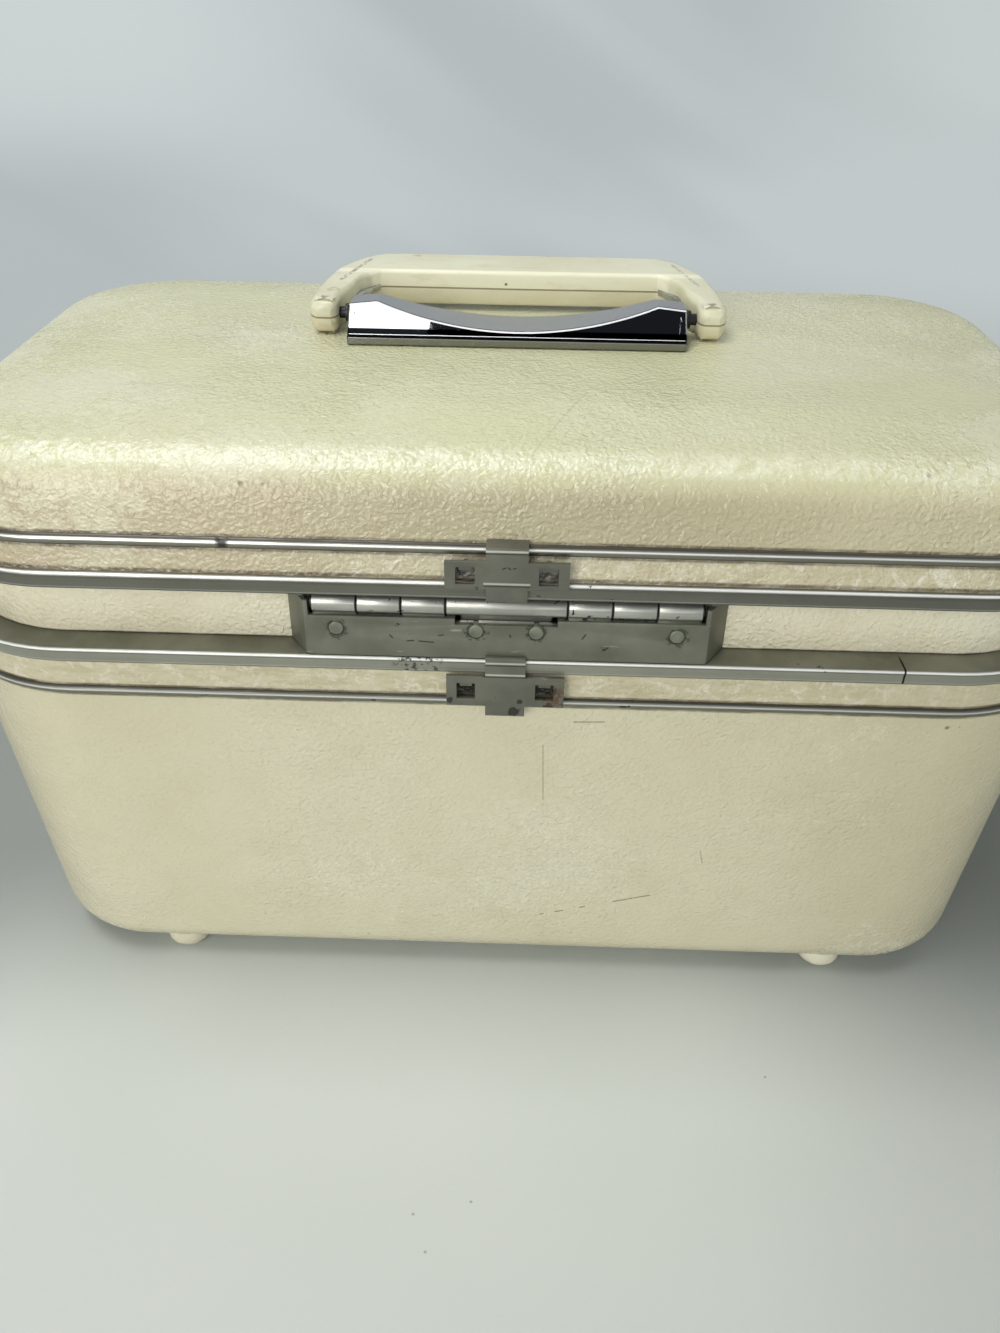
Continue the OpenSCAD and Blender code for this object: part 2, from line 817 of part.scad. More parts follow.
module mirror_frame() {
  w = mirror_w + 2 * mirror_border + 4;
  d = mirror_d + 2 * mirror_border;
  lip = 2;
  color("#c9b98a")
    difference() {
      block([-w / 2, -d / 2, mirror_top_z - mirror_frame_t], [w / 2, d / 2, mirror_top_z]);
      block([-mirror_w / 2 - 0.2, -mirror_d / 2 - 0.2, mirror_top_z - mirror_t - 0.1],
        [mirror_w / 2 + 0.2, mirror_d / 2 + 0.2, mirror_top_z + eps]);
      block([-mirror_w / 2 + lip, -mirror_d / 2 + lip, mirror_top_z - mirror_frame_t - eps],
        [mirror_w / 2 - lip, mirror_d / 2 - lip, mirror_top_z]);
      at_mirror_screws()
        translate([0, 0, mirror_top_z - mirror_frame_t - eps])
          cylinder(r = mirror_screw_r + pin_gap, h = mirror_frame_t + 2 * eps);
    }
}

module mirror_glass() {
  color("#cfd8da")
    block([-mirror_w / 2, -mirror_d / 2, mirror_top_z - mirror_t],
      [mirror_w / 2, mirror_d / 2, mirror_top_z]);
}

module mirror_screws() {
  low = mirror_top_z - mirror_frame_t;
  color("#c8c8c0")
    at_mirror_screws() {
      translate([0, 0, low])
        cylinder(r = mirror_screw_r, h = lid_top_z - shell_t + 1.6 - low);
      translate([0, 0, low - 0.9])
        cylinder(r1 = 1.6, r2 = 2.3, h = 0.9);
    }
}

// Handle bracket, a hollow chromed casting with a scooped top

bracket_y = -bracket_forward;
bracket_foot_h = 3;
bracket_top_d = 11;
bracket_peak_x = bracket_w / 2 - 9.5;
bracket_wall = 2;
screw_r = 1.9;
screw_head_r = 3.6;
screw_in = 20;
screw_x = bracket_w / 2 - screw_in;
screw_bite = 4.6;
screw_head_h = 1.5;
pivot_h = 6.2;
pivot_z = lid_top_z + pivot_h;
handle_pin_r = 1.9;
// How deep the pins sit in the bracket and in the knobs
pin_seat = 7.5;
knob_seat = knob_w - 2.2;

module at_bracket() {
  translate([0, bracket_y, lid_top_z])
    children();
}

module at_bracket_screws() {
  at_bracket()
    for (x = [-screw_x, screw_x])
      translate([x, 0, 0])
        children();
}

// The bracket's outside, taken in by a wall all round and at the top
module bracket_solid(wall, drop) {
  foot = bracket_d / 2 - wall;
  shoulder = foot - 0.8;
  top = bracket_top_d / 2 - wall / 2;
  half = bracket_w / 2 - wall;
  rise = bracket_h - bracket_mid_h;
  scoop_r = (bracket_peak_x * bracket_peak_x + rise * rise) / (2 * rise);
  intersection() {
    translate([-half, 0, 0])
      rotate([90, 0, 90])
        linear_extrude(2 * half)
          polygon([
            [-foot, -drop], [foot, -drop], [foot, bracket_foot_h - drop],
            [shoulder, bracket_foot_h - drop], [top, bracket_h - drop + 0.6],
            [-top, bracket_h - drop + 0.6], [-shoulder, bracket_foot_h - drop],
            [-foot, bracket_foot_h - drop]
          ]);
    translate([0, bracket_d, 0])
      rotate([90, 0, 0])
        linear_extrude(2 * bracket_d)
          difference() {
            polygon([
              [-half, -drop], [half, -drop], [half, bracket_h - 0.9 - drop],
              [bracket_peak_x, bracket_h - drop], [-bracket_peak_x, bracket_h - drop],
              [-half, bracket_h - 0.9 - drop]
            ]);
            translate([0, bracket_mid_h + scoop_r - drop])
              circle(r = scoop_r, $fn = 180);
          }
  }
}

module handle_bracket() {
  color("#c9ccd0")
    at_bracket()
      difference() {
        union() {
          difference() {
            bracket_solid(0, 0);
            bracket_solid(bracket_wall, bracket_wall);
          }
          intersection() {
            bracket_solid(0.5, 0.5);
            union() {
              for (x = [-screw_x, screw_x])
                translate([x, 0, 0])
                  cylinder(r = screw_r + 2, h = bracket_h);
              for (s = [-1, 1])
                translate([0, 0, pivot_h])
                  bar_x(handle_pin_r + 2, s > 0 ? bracket_w / 2 - 7 : -bracket_w / 2 + 1,
                    s > 0 ? bracket_w / 2 - 1 : -bracket_w / 2 + 7);
            }
          }
        }
        for (x = [-screw_x, screw_x])
          translate([x, 0, -eps])
            cylinder(r = screw_r + pin_gap, h = screw_bite + 0.2);
        translate([0, 0, pivot_h])
          for (s = [-1, 1])
            bar_x(handle_pin_r + pin_gap, s > 0 ? bracket_w / 2 - pin_seat - 0.5 : -bracket_w / 2 - 1,
              s > 0 ? bracket_w / 2 + 1 : -bracket_w / 2 + pin_seat + 0.5);
      }
}

module handle_pins() {
  washer_x = bracket_w / 2 + 0.8;
  color("#3b3b3d")
    translate([0, bracket_y, pivot_z])
      for (k = [0, 1])
        mirror([k, 0, 0]) {
          bar_x(handle_pin_r, bracket_w / 2 - pin_seat, knob_in + knob_seat);
          bar_x(handle_pin_r + 1.1, washer_x, washer_x + 1.4);
        }
}

module backing_plate() {
  color("#9a9a92")
    difference() {
      translate([0, bracket_y, lid_top_z - shell_t - plate_t])
        translate([plate_in_x - bracket_w / 2, plate_in_y - bracket_d / 2, 0])
          cube([bracket_w - 2 * plate_in_x, bracket_d - 2 * plate_in_y, plate_t]);
      at_bracket_screws()
        translate([0, 0, -shell_t - plate_t - eps])
          cylinder(r = screw_r + pin_gap, h = plate_t + 2 * eps);
    }
}

module bracket_screws() {
  low = -shell_t - plate_t;
  color("#b4b4ac")
    at_bracket_screws() {
      translate([0, 0, low])
        cylinder(r = screw_r, h = screw_bite - low);
      difference() {
        translate([0, 0, low - screw_head_h])
          cylinder(r1 = screw_head_r * 0.8, r2 = screw_head_r, h = screw_head_h);
        translate([-screw_head_r, -screw_r / 5, low - screw_head_h - eps])
          cube([2 * screw_head_r, screw_r / 2.5, screw_head_h / 2]);
      }
    }
}

// Carry handle, two moulded halves round a flat steel core. It is drawn lying level
// towards -Y from its pins at the origin.

knob_gap = 4.3;
knob_in = bracket_w / 2 + knob_gap;
handle_w = 2 * (knob_in + knob_w);
knob_r = 5.2;
grip_near = 27;
grip_step = 8;
grip_half = bracket_w / 2 - grip_step;
core_t = 2;
core_w = 7;

module egg(x, y, z, rx, ry, rz) {
  translate([x, y, z])
    scale([rx, ry, rz])
      sphere(r = 1, $fn = 28);
}

module handle_blank() {
  flat = handle_t / 2;
  mid = knob_in + knob_w / 2;
  grip_back = handle_reach - 5;
  hull()
    for (s = [-1, 1]) {
      egg(s * (grip_half - 1), -grip_near - 4, 0, 4.4, 4, flat);
      egg(s * (grip_half - 2), -grip_back, 0, 7, 5, flat - 0.5);
      egg(0, -grip_near - 4.6, 0, 4, 4, flat);
      egg(0, -handle_reach + 4.2, 0, 4, 4.2, flat - 0.4);
    }
  for (s = [-1, 1]) {
    hull() {
      egg(s * (mid + 0.3), -4, 0, 5.2, 6, knob_r);
      egg(s * (mid - 1.6), -20, 0, 5, 6, flat - 0.4);
    }
    hull() {
      egg(s * (mid - 1.6), -20, 0, 5, 6, flat - 0.4);
      egg(s * (grip_half + 2.5), -grip_near - 7, 0, 6.5, 7, flat - 0.1);
      egg(s * (grip_half - 2), -grip_back, 0, 7, 5, flat - 0.5);
    }
    hull() {
      bar_x(knob_r - 0.7, s > 0 ? knob_in : -handle_w / 2, s > 0 ? handle_w / 2 : -knob_in);
      bar_x(knob_r, s > 0 ? knob_in + 1 : -handle_w / 2 + 4, s > 0 ? handle_w / 2 - 4 : -knob_in - 1);
    }
  }
}

// Plan of the core, a flat U with an eye round each pin
module core_plan(extra) {
  mid = knob_in + knob_w / 2 - 0.5;
  y_grip = -(grip_near + handle_reach) / 2;
  for (s = [-1, 1])
    hull() {
      translate([s * mid, -core_w])
        circle(r = core_w / 2 + extra, $fn = 24);
      translate([s * (grip_half - 1), y_grip])
        circle(r = core_w / 2 + extra, $fn = 24);
    }
  translate([-grip_half + 1, y_grip - core_w / 2 - extra])
    square([2 * grip_half - 2, core_w + 2 * extra]);
}

module lay_handle() {
  translate([0, bracket_y, pivot_z])
    rotate([-handle_lift, 0, 0])
      children();
}

module handle_half(up) {
  lay_handle()
    difference() {
      handle_blank();
      translate([-handle_w, -2 * handle_reach, up ? -handle_reach : 0])
        cube([2 * handle_w, 4 * handle_reach, handle_reach]);
      translate([0, 0, -core_t / 2 - 0.1])
        linear_extrude(core_t + 0.2)
          core_plan(0.15);
      for (s = [-1, 1])
        bar_x(handle_pin_r + pin_gap, s > 0 ? knob_in - 3 : -handle_w / 2 + 2,
          s > 0 ? handle_w / 2 - 2 : -knob_in + 3);
    }
}

module handle_upper_half() {
  color("#dad4b6")
    handle_half(true);
}

module handle_lower_half() {
  color("#d2cbaa")
    handle_half(false);
}

module handle_core() {
  color("#8d8d88")
    lay_handle()
      translate([0, 0, -core_t / 2])
        linear_extrude(core_t)
          core_plan(0);
}

// Latches, drawn on the front face with y as the distance in from the frames' face

latch_v = 4.3;
latch_axis_z = ledge_top_z + 4.8;
cheek_t = 1.2;
lever_half = latch_w / 2 - cheek_t - 0.7;
lever_v = 0.4;
lever_t = 1.2;
lever_top_z = lid_z - 1.5;
hook_z = lid_z - 4.1;
hook_t = 1.6;
hook_x = [9, 14];
hook_reach = 6;
lock_z = ledge_top_z + 10.8;
cam_v = 6.2;
cam_t = 1.2;
cam_l = 6;
lug_x = [12, 15];
lug_r = 2.6;

module latch_housing() {
  low = ledge_top_z + gap;
  back_v = recess_d - cheek_t;
  color("#8f918b")
    difference() {
      union() {
        block([-latch_w / 2, back_v, low], [latch_w / 2, recess_d, web_top_z - gap]);
        for (s = [-1, 1])
          block([s > 0 ? latch_w / 2 - cheek_t : -latch_w / 2, 1.2, low],
            [s > 0 ? latch_w / 2 : -latch_w / 2 + cheek_t, recess_d, lid_z - 1.2]);
        block([-2, cam_v - 1.1, low], [2, back_v + eps, low + 1.4]);
        block([-2, cam_v - 1.1, low], [2, cam_v - 0.2, low + 6]);
      }
      translate([0, latch_v, latch_axis_z])
        bar_x(latch_pin_r + pin_gap, -latch_w, latch_w);
      for (x = [-latch_anchor_x, latch_anchor_x])
        translate([x, recess_d + eps, latch_anchor_z])
          rotate([90, 0, 0])
            cylinder(r = anchor_r + pin_gap, h = cheek_t + 1);
    }
}

module latch_lever() {
  low = latch_axis_z - 1;
  color("#c4c6c4")
    difference() {
      union() {
        block([-lever_half, lever_v, low], [lever_half, lever_v + lever_t, lever_top_z]);
        block([-lever_half, -clip_t, lever_top_z - 2.6], [lever_half, lever_v + eps, lever_top_z]);
        for (s = [-1, 1]) {
          translate([0, latch_v, latch_axis_z])
            bar_x(lug_r, s > 0 ? lug_x[0] : -lug_x[1], s > 0 ? lug_x[1] : -lug_x[0]);
          block([s > 0 ? lug_x[0] : -lug_x[1], lever_v + lever_t - eps, latch_axis_z],
            [s > 0 ? lug_x[1] : -lug_x[0], latch_v + lug_r, latch_axis_z + lug_r]);
          block([s > 0 ? hook_x[0] : -hook_x[1], lever_v + lever_t - eps, hook_z],
            [s > 0 ? hook_x[1] : -hook_x[0], hook_reach, hook_z + hook_t]);
        }
      }
      translate([0, latch_v, latch_axis_z])
        bar_x(latch_pin_r + pin_gap, -latch_w, latch_w);
      translate([0, -clip_t - eps, lock_z])
        rotate([-90, 0, 0])
          cylinder(r = lock_r + pin_gap, h = 6);
    }
}

module lock_cylinder() {
  color("#b8ba9f")
    translate([0, 0, lock_z])
      rotate([-90, 0, 0])
        difference() {
          union() {
            translate([0, 0, lever_v - 0.2])
              cylinder(r = lock_r, h = cam_v - lever_v + 0.2);
            translate([0, 0, lever_v - 0.7])
              cylinder(r = lock_r + 0.9, h = 0.7);
          }
          translate([-0.5, -2.2, lever_v - 1])
            cube([1, 4.4, 2.6]);
        }
}

module lock_cam() {
  color("#8f918b")
    block([-cam_t * 1.25, cam_v, lock_z - cam_t * 1.25], [cam_l, cam_v + cam_t, lock_z + cam_t * 1.25]);
}

module strike() {
  lip_z = hook_z - 0.5;
  color("#9fa19c")
    difference() {
      union() {
        block([-17, 2.4, lid_z - cheek_t], [17, recess_d - cheek_t - gap, lid_z]);
        for (s = [-1, 1]) {
          x0 = s > 0 ? hook_x[0] - 1 : -hook_x[1] - 1;
          x1 = s > 0 ? hook_x[1] + 1 : -hook_x[0] + 1;
          block([x0, hook_reach + 0.4, lip_z - cheek_t], [x1, hook_reach + 1.4, lid_z - cheek_t + eps]);
          block([x0, 3.4, lip_z - cheek_t], [x1, hook_reach + 1.4, lip_z]);
        }
      }
      for (x = [-strike_rivet_x, strike_rivet_x])
        translate([x, strike_rivet_v, lid_z - cheek_t - eps])
          cylinder(r = strike_rivet_r + pin_gap, h = cheek_t + 2 * eps);
    }
}

strike_rivet_x = 5;
strike_rivet_r = 1.1;
strike_rivet_v = 6.4;

module at_strike_rivets() {
  for (side = [-1, 1], x = [-strike_rivet_x, strike_rivet_x])
    on_front(side * latch_spacing / 2)
      translate([x, strike_rivet_v, 0])
        children();
}

module strike_rivets() {
  color("#9a9a92")
    at_strike_rivets()
      translate([0, 0, lid_z - cheek_t]) {
        translate([0, 0, -0.7])
          cylinder(r = strike_rivet_r + 0.6, h = 0.7);
        cylinder(r = strike_rivet_r, h = cheek_t + lid_groove_z - lid_z);
      }
}

module latch_pins() {
  color("#8d8d88")
    for (side = [-1, 1])
      on_front(side * latch_spacing / 2)
        translate([0, latch_v, latch_axis_z])
          bar_x(latch_pin_r, -latch_w / 2, latch_w / 2);
}

// Torsion springs on the latch pins, with one leg on the housing
module latch_springs() {
  wire = 0.7;
  color("#6f6f6c")
    for (side = [-1, 1])
      on_front(side * latch_spacing / 2)
        difference() {
          union() {
            translate([0, latch_v, latch_axis_z])
              bar_x(latch_pin_r + 0.15 + wire, 4, 10);
            block([9.3, latch_v, latch_axis_z - latch_pin_r - 0.15 - wire],
              [10, recess_d - cheek_t - 0.1, latch_axis_z - latch_pin_r - 0.15]);
          }
          translate([0, latch_v, latch_axis_z])
            bar_x(latch_pin_r + 0.15, 3, 11);
        }
}

module on_side(side) {
  on_front(side * latch_spacing / 2)
    children();
}

base_shell();
base_bead();
base_frame();
recess_band();
base_joint_clip();
hinge_pan();
hinge_base_leaf();
hinge_pin();
hinge_rivets();
anchor_rivets();
feet();
foot_rivets();
base_lining();
tray_ledges();
on_side(-1) latch_housing();  // latch_housing_left
on_side(1) latch_housing();  // latch_housing_right
latch_pins();
latch_springs();
lid_shell();
lid_bead();
lid_frame();
lid_joint_clip();
hinge_lid_leaf();
lid_leaf_rivets();
handle_bracket();
handle_pins();
backing_plate();
bracket_screws();
lid_lining();
mirror_frame();
mirror_glass();
mirror_screws();
on_side(-1) strike();  // strike_left
on_side(1) strike();  // strike_right
strike_rivets();
handle_upper_half();
handle_lower_half();
handle_core();
on_side(-1) latch_lever();  // latch_lever_left
on_side(1) latch_lever();  // latch_lever_right
on_side(-1) lock_cylinder();  // lock_cylinder_left
on_side(1) lock_cylinder();  // lock_cylinder_right
on_side(-1) lock_cam();  // lock_cam_left
on_side(1) lock_cam();  // lock_cam_right
tray();
tray_divider();
tray_mats();
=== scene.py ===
import json
from collections import Counter
from math import atan, atan2, cos, degrees, hypot, pi, radians, sin

import bpy
from mathutils import Matrix, Vector

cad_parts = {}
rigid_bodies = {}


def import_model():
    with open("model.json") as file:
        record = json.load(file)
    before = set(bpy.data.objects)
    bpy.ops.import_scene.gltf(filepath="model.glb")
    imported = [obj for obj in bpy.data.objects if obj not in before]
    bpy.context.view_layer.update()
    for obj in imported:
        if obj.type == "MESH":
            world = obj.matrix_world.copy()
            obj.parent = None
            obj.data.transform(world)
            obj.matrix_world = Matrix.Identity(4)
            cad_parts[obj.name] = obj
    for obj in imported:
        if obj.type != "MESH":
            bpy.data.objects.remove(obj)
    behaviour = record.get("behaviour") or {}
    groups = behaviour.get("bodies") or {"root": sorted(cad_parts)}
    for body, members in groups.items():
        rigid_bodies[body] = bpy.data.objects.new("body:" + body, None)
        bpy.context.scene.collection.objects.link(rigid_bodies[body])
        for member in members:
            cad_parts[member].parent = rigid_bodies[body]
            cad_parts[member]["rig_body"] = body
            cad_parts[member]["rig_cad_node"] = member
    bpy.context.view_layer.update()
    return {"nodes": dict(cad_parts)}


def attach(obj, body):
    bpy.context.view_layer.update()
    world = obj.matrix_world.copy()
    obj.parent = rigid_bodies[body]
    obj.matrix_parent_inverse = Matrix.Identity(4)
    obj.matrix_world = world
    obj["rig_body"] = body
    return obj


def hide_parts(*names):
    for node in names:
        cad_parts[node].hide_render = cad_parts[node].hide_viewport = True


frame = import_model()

nodes = frame["nodes"]
scene = bpy.context.scene
scene.view_settings.view_transform = "Standard"

# Studio. A camera at the photograph's height and angle, behind the case, a large soft
# box above it on the left of the picture, and weaker lamps on every side. The floor is
# one wide sheet of pale paper that runs out past the picture's top.
camera_at = Vector((-0.00491, 0.36557, 0.31986))
camera_turn = radians(-1.4)
camera_dip = radians(33.7)
camera_roll = radians(0.8)
camera_lens = 29.8

ahead = Vector((
    -sin(camera_turn) * cos(camera_dip),
    -cos(camera_turn) * cos(camera_dip),
    -sin(camera_dip),
))
level = ahead.cross(Vector((0, 0, 1))).normalized()
upright = level.cross(ahead)
right = level * cos(camera_roll) + upright * sin(camera_roll)
top = upright * cos(camera_roll) - level * sin(camera_roll)

camera = bpy.data.objects.new("camera", bpy.data.cameras.new("camera"))
camera.data.sensor_fit = "VERTICAL"
camera.data.sensor_height = 36
camera.data.lens = camera_lens
camera.data.clip_start = 0.01
camera.data.clip_end = 100
camera.matrix_world = Matrix.Translation(camera_at) @ Matrix((right, top, -ahead)).transposed().to_4x4()
scene.collection.objects.link(camera)
scene.camera = camera


def soft_box(name, at, aim, width, depth, watts, tint):
    """A rectangular lamp at one place that points at another."""
    lamp = bpy.data.objects.new(name, bpy.data.lights.new(name, "AREA"))
    lamp.data.shape = "RECTANGLE"
    lamp.data.size = width
    lamp.data.size_y = depth
    lamp.data.energy = watts
    lamp.data.color = tint
    lamp.location = at
    lamp.rotation_euler = (Vector(aim) - Vector(at)).to_track_quat("-Z", "Y").to_euler()
    scene.collection.objects.link(lamp)


soft_box("key", (0.52, 0.2, 1.7), (0.52, 0.2, 0), 0.7, 1, 16, (1, 0.99, 0.96))
soft_box("right_top", (-0.8, -0.1, 1.7), (-0.5, -0.1, 0.2), 0.6, 0.6, 2.5, (1, 0.99, 0.97))
soft_box("left_fill", (0.9, 1.8, 0.9), (0, 0.1, 0.1), 1, 1.2, 19.5, (1, 0.98, 0.96))
soft_box("back_fill", (-0.2, 2.2, 0.45), (0, 0.1, 0.1), 1.4, 0.7, 2.5, (1, 0.98, 0.96))
soft_box("right_side", (-2, 0.1, 0.5), (0, 0, 0.1), 1, 0.8, 6, (1, 0.99, 0.97))
soft_box("front_fill", (0.3, -1.6, 1.6), (0, 0, 0.1), 1.4, 1, 4, (0.97, 0.98, 1))


class Amount:
    """A number that changes over a surface. Sums of amounts become Math nodes."""

    def __init__(self, finish, socket):
        self.finish = finish
        self.socket = socket

    def __add__(self, other):
        return self.finish.work("ADD", self, other)

    def __radd__(self, other):
        return self.finish.work("ADD", other, self)

    def __sub__(self, other):
        return self.finish.work("SUBTRACT", self, other)

    def __rsub__(self, other):
        return self.finish.work("SUBTRACT", other, self)

    def __mul__(self, other):
        return self.finish.work("MULTIPLY", self, other)

    def __rmul__(self, other):
        return self.finish.work("MULTIPLY", other, self)

    def __truediv__(self, other):
        return self.finish.work("DIVIDE", self, other)

    def __rtruediv__(self, other):
        return self.finish.work("DIVIDE", other, self)

    def __abs__(self):
        return self.finish.work("ABSOLUTE", self)


class Finish:
    """A material. Its at is a point of the piece, in metres, and colour is what it has so far."""

    def __init__(self, name, tree=None, **constants):
        self.tree = tree
        if tree is None:
            self.material = bpy.data.materials.new(name)
            self.material.use_nodes = True
            self.tree = self.material.node_tree
            self.shader = self.tree.nodes["Principled BSDF"]
            self.at = self.node("TexCoord", {}, {}, "Object")
        for socket, value in constants.items():
            self.shader.inputs[socket.replace("_", " ")].default_value = value

    def node(self, kind, settings, values, out=0):
        """Adds one node, its settings first and then its sockets, and gives an output."""
        made = self.tree.nodes.new("ShaderNode" + kind)
        for name, value in settings.items():
            setattr(made, name, value)
        for name, value in values.items():
            self.feed(made.inputs[name], value)
        return Amount(self, made.outputs[out])

    def feed(self, socket, value):
        if isinstance(value, Amount):
            self.tree.links.new(value.socket, socket)
        else:
            socket.default_value = value

    def work(self, operation, *values):
        return self.node("Math", {"operation": operation}, dict(enumerate(values)))

    def parts(self, vector):
        return [self.node("SeparateXYZ", {}, {0: vector}, i) for i in range(3)]

    def away(self, place):
        return self.node("VectorMath", {"operation": "DISTANCE"}, {0: self.at, 1: place}, "Value")

    def pulled(self, at, stretch):
        """Where a pattern is read: at the piece's own place unless one is given."""
        at = at or self.at
        if stretch is None:
            return at
        return self.node("VectorMath", {"operation": "MULTIPLY"}, {0: at, 1: stretch})

    def noise(self, scale, detail=2, rough=0.5, bend=0, stretch=None, at=None):
        return self.node("TexNoise", {}, {
            "Vector": self.pulled(at, stretch), "Scale": scale, "Detail": detail, "Roughness": rough,
            "Distortion": bend})

    def cells(self, scale, feature="F1", stretch=None):
        return self.node("TexVoronoi", {"feature": feature}, {
            "Vector": self.pulled(None, stretch), "Scale": scale}, "Distance")

    def fade(self, amount, low, high):
        """0 below low, 1 above high, and smooth between. Low may be above high."""
        return self.node("MapRange", {"interpolation_type": "SMOOTHSTEP"}, {
            "Value": amount, "From Min": low, "From Max": high})

    def patches(self, low, high, *noise, **where):
        """A noise, faded between two of its heights."""
        return self.fade(self.noise(*noise, **where), low, high)

    def most(self, *amounts):
        return self.work("MAXIMUM", *amounts)

    def mix(self, share, first, second):
        """Blends two colours."""
        return self.node("Mix", {"data_type": "RGBA"}, {0: share, 6: first, 7: second}, 2)

    def ground(self, share, first, second):
        """Starts the colour from two tones, each in a screen's red, green and blue."""
        self.colour = self.mix(share, shade(*first), shade(*second))

    def lay(self, share, *tone):
        """Lays a tone over the colour so far."""
        self.colour = self.mix(share, self.colour, shade(*tone))

    def bump(self, height, depth, strength):
        return self.node("Bump", {}, {"Height": height, "Distance": depth, "Strength": strength})

    def wear(self, **links):
        """Feeds the colour, and what else varies over the surface, to the shader."""
        for socket, value in {"Base_Color": self.colour, **links}.items():
            self.feed(self.shader.inputs[socket.replace("_", " ")], value)
        return self.material


def shade(red, green, blue):
    """A colour as a screen shows it, 0 to 255, turned into the amounts of light."""
    parts = []
    for c in (red / 255, green / 255, blue / 255):
        parts.append(c / 12.92 if c <= 0.04045 else ((c + 0.055) / 1.055) ** 2.4)
    return (*parts, 1)


# The sky that metal mirrors: pale at the sides and dark overhead
sky = bpy.data.worlds.new("sky")
sky.use_nodes = True
scene.world = sky
air = Finish("sky", sky.node_tree)
height = air.parts(air.node("TexCoord", {}, {}, "Generated"))[2]
air.ground(air.fade(height, 0.25, 0.92), (200, 205, 207), (34, 36, 40))
air.lay(air.node("LightPath", {}, {}, "Is Camera Ray"), 196, 200, 202)
air.feed(air.tree.nodes["Background"].inputs["Color"], air.colour)


def leave_edit():
    bpy.ops.object.mode_set(mode="OBJECT")


def clear_choice():
    if bpy.context.object is not None and bpy.context.object.mode != "OBJECT":
        leave_edit()
    bpy.ops.object.select_all(action="DESELECT")


def choose(piece):
    clear_choice()
    piece.select_set(True)
    bpy.context.view_layer.objects.active = piece


def edit_all(kind="VERT"):
    bpy.ops.object.mode_set(mode="EDIT")
    bpy.ops.mesh.select_mode(type=kind)
    bpy.ops.mesh.select_all(action="SELECT")


floor_side = 30
flecks = (-0.0903, 0.1305), (0.0062, 0.1781), (0.0233, 0.1826), (0.0187, 0.1938)
clear_choice()
bpy.ops.mesh.primitive_plane_add(size=1)
floor = bpy.context.object
floor.name = "floor"
floor.scale = (floor_side, floor_side, 1)
bpy.ops.object.transform_apply()
paper = Finish("paper", Roughness=0.7)
paper_x, paper_y, _ = paper.parts(paper.at)
paper.ground(paper.patches(0.3, 0.7, 5), (201, 207, 202), (206, 211, 207))
# Painted shadow: the sheet is darkened beside both ends of the case, and over all of its right
paper.lay(paper.fade(paper.away((0.22, -0.02, 0)), 0.17, 0.05) * 0.8, 128, 133, 131)
right_painted_shadow = paper.fade(paper.away((-0.22, 0, 0)), 0.2, 0.03) * 0.7
paper.lay(right_painted_shadow + paper.fade(paper_x, -0.05, -0.15) * 0.2, 110, 115, 110)
for fleck in flecks:
    paper.lay(paper.fade(paper.away((*fleck, 0)), 0.0006, 0.0003) * 0.6, 120, 122, 116)
paper.wear()
# Far from the case the camera sees the sheet as a glowing painted backdrop instead of lit paper, with the
# light and shade of soft folds, and brighter and darker areas, painted in
sheet_near = 1 / (0.37 - paper_y)
sheet_side = paper_x * sheet_near
sheet_low = sheet_near * 0.32
fold_at = paper.node("CombineXYZ", {}, {
    0: sheet_side * 2.6 + sheet_low * 5, 1: sheet_low * 2.2 - sheet_side * 0.5, 2: 0.3})
fold = paper.patches(0.36, 0.64, 1.3, 2, 0.4, 0.3, at=fold_at)
paper.ground(fold, (180, 188, 189), (194, 201, 202))
high = paper.fade(sheet_low, 0.2, 0.07)
paper.lay(high * paper.fade(sheet_side, 0.12, 0.34) * 0.8, 206, 213, 213)
paper.lay(high * paper.fade(sheet_side, -0.12, -0.36) * 0.7, 200, 207, 206)
paper.lay(paper.fade(sheet_low, 0.12, 0.2) * paper.fade(sheet_side, 0.15, 0.4) * 0.6, 170, 179, 182)
backdrop_painted_glow = paper.node("Emission", {}, {"Color": paper.colour})
paper_out = paper.node("VectorMath", {"operation": "LENGTH"}, {0: paper.at}, "Value")
paper_far = paper.fade(paper_out, 0.32, 1.1) * paper.node("LightPath", {}, {}, "Is Camera Ray")
paper_mix = paper.node("MixShader", {}, {
    0: paper_far, 1: Amount(paper, paper.shader.outputs[0]), 2: backdrop_painted_glow})
paper.feed(paper.tree.nodes["Material Output"].inputs["Surface"], paper_mix)
floor.data.materials.append(paper.material)


# Base shell. A deep tub of moulded plastic under a leather-grained cream skin, with
# rolled lower edges. Its rim sits in the groove of the base frame. It is turned out
# upside down here, as rings that step in from the rim to the flat bottom.
half_w = 0.1825
half_d = 0.1
corner = 0.052
corner_steps = 18
shell_inset = -0.0016
shell_wall = 0.003
base_rim_z = 0.1426
base_low_z = 0.005
base_foot_inset = -0.0123
base_roll = 0.0137
base_trims = 0.1268, 0.1305, 0.1396
flat_end_out = -0.03


def stepped_rings(name, line):
    """A round-cornered sheet, inset step by step along a line of (out, height)."""
    clear_choice()
    out, z = line[0]
    bpy.ops.mesh.primitive_plane_add(size=1, location=(0, 0, z))
    piece = bpy.context.object
    piece.name = name
    piece.data.name = name
    piece.scale = (2 * (half_w + out), 2 * (half_d + out), 1)
    bpy.ops.object.transform_apply()
    edit_all()
    bpy.ops.mesh.bevel(offset=corner + out, segments=corner_steps, affect="VERTICES")
    edit_all("FACE")
    for (a, z_a), (b, z_b) in zip(line, line[1:]):
        bpy.ops.mesh.inset(thickness=max(a - b, 1e-7), depth=z_b - z_a)
    return piece


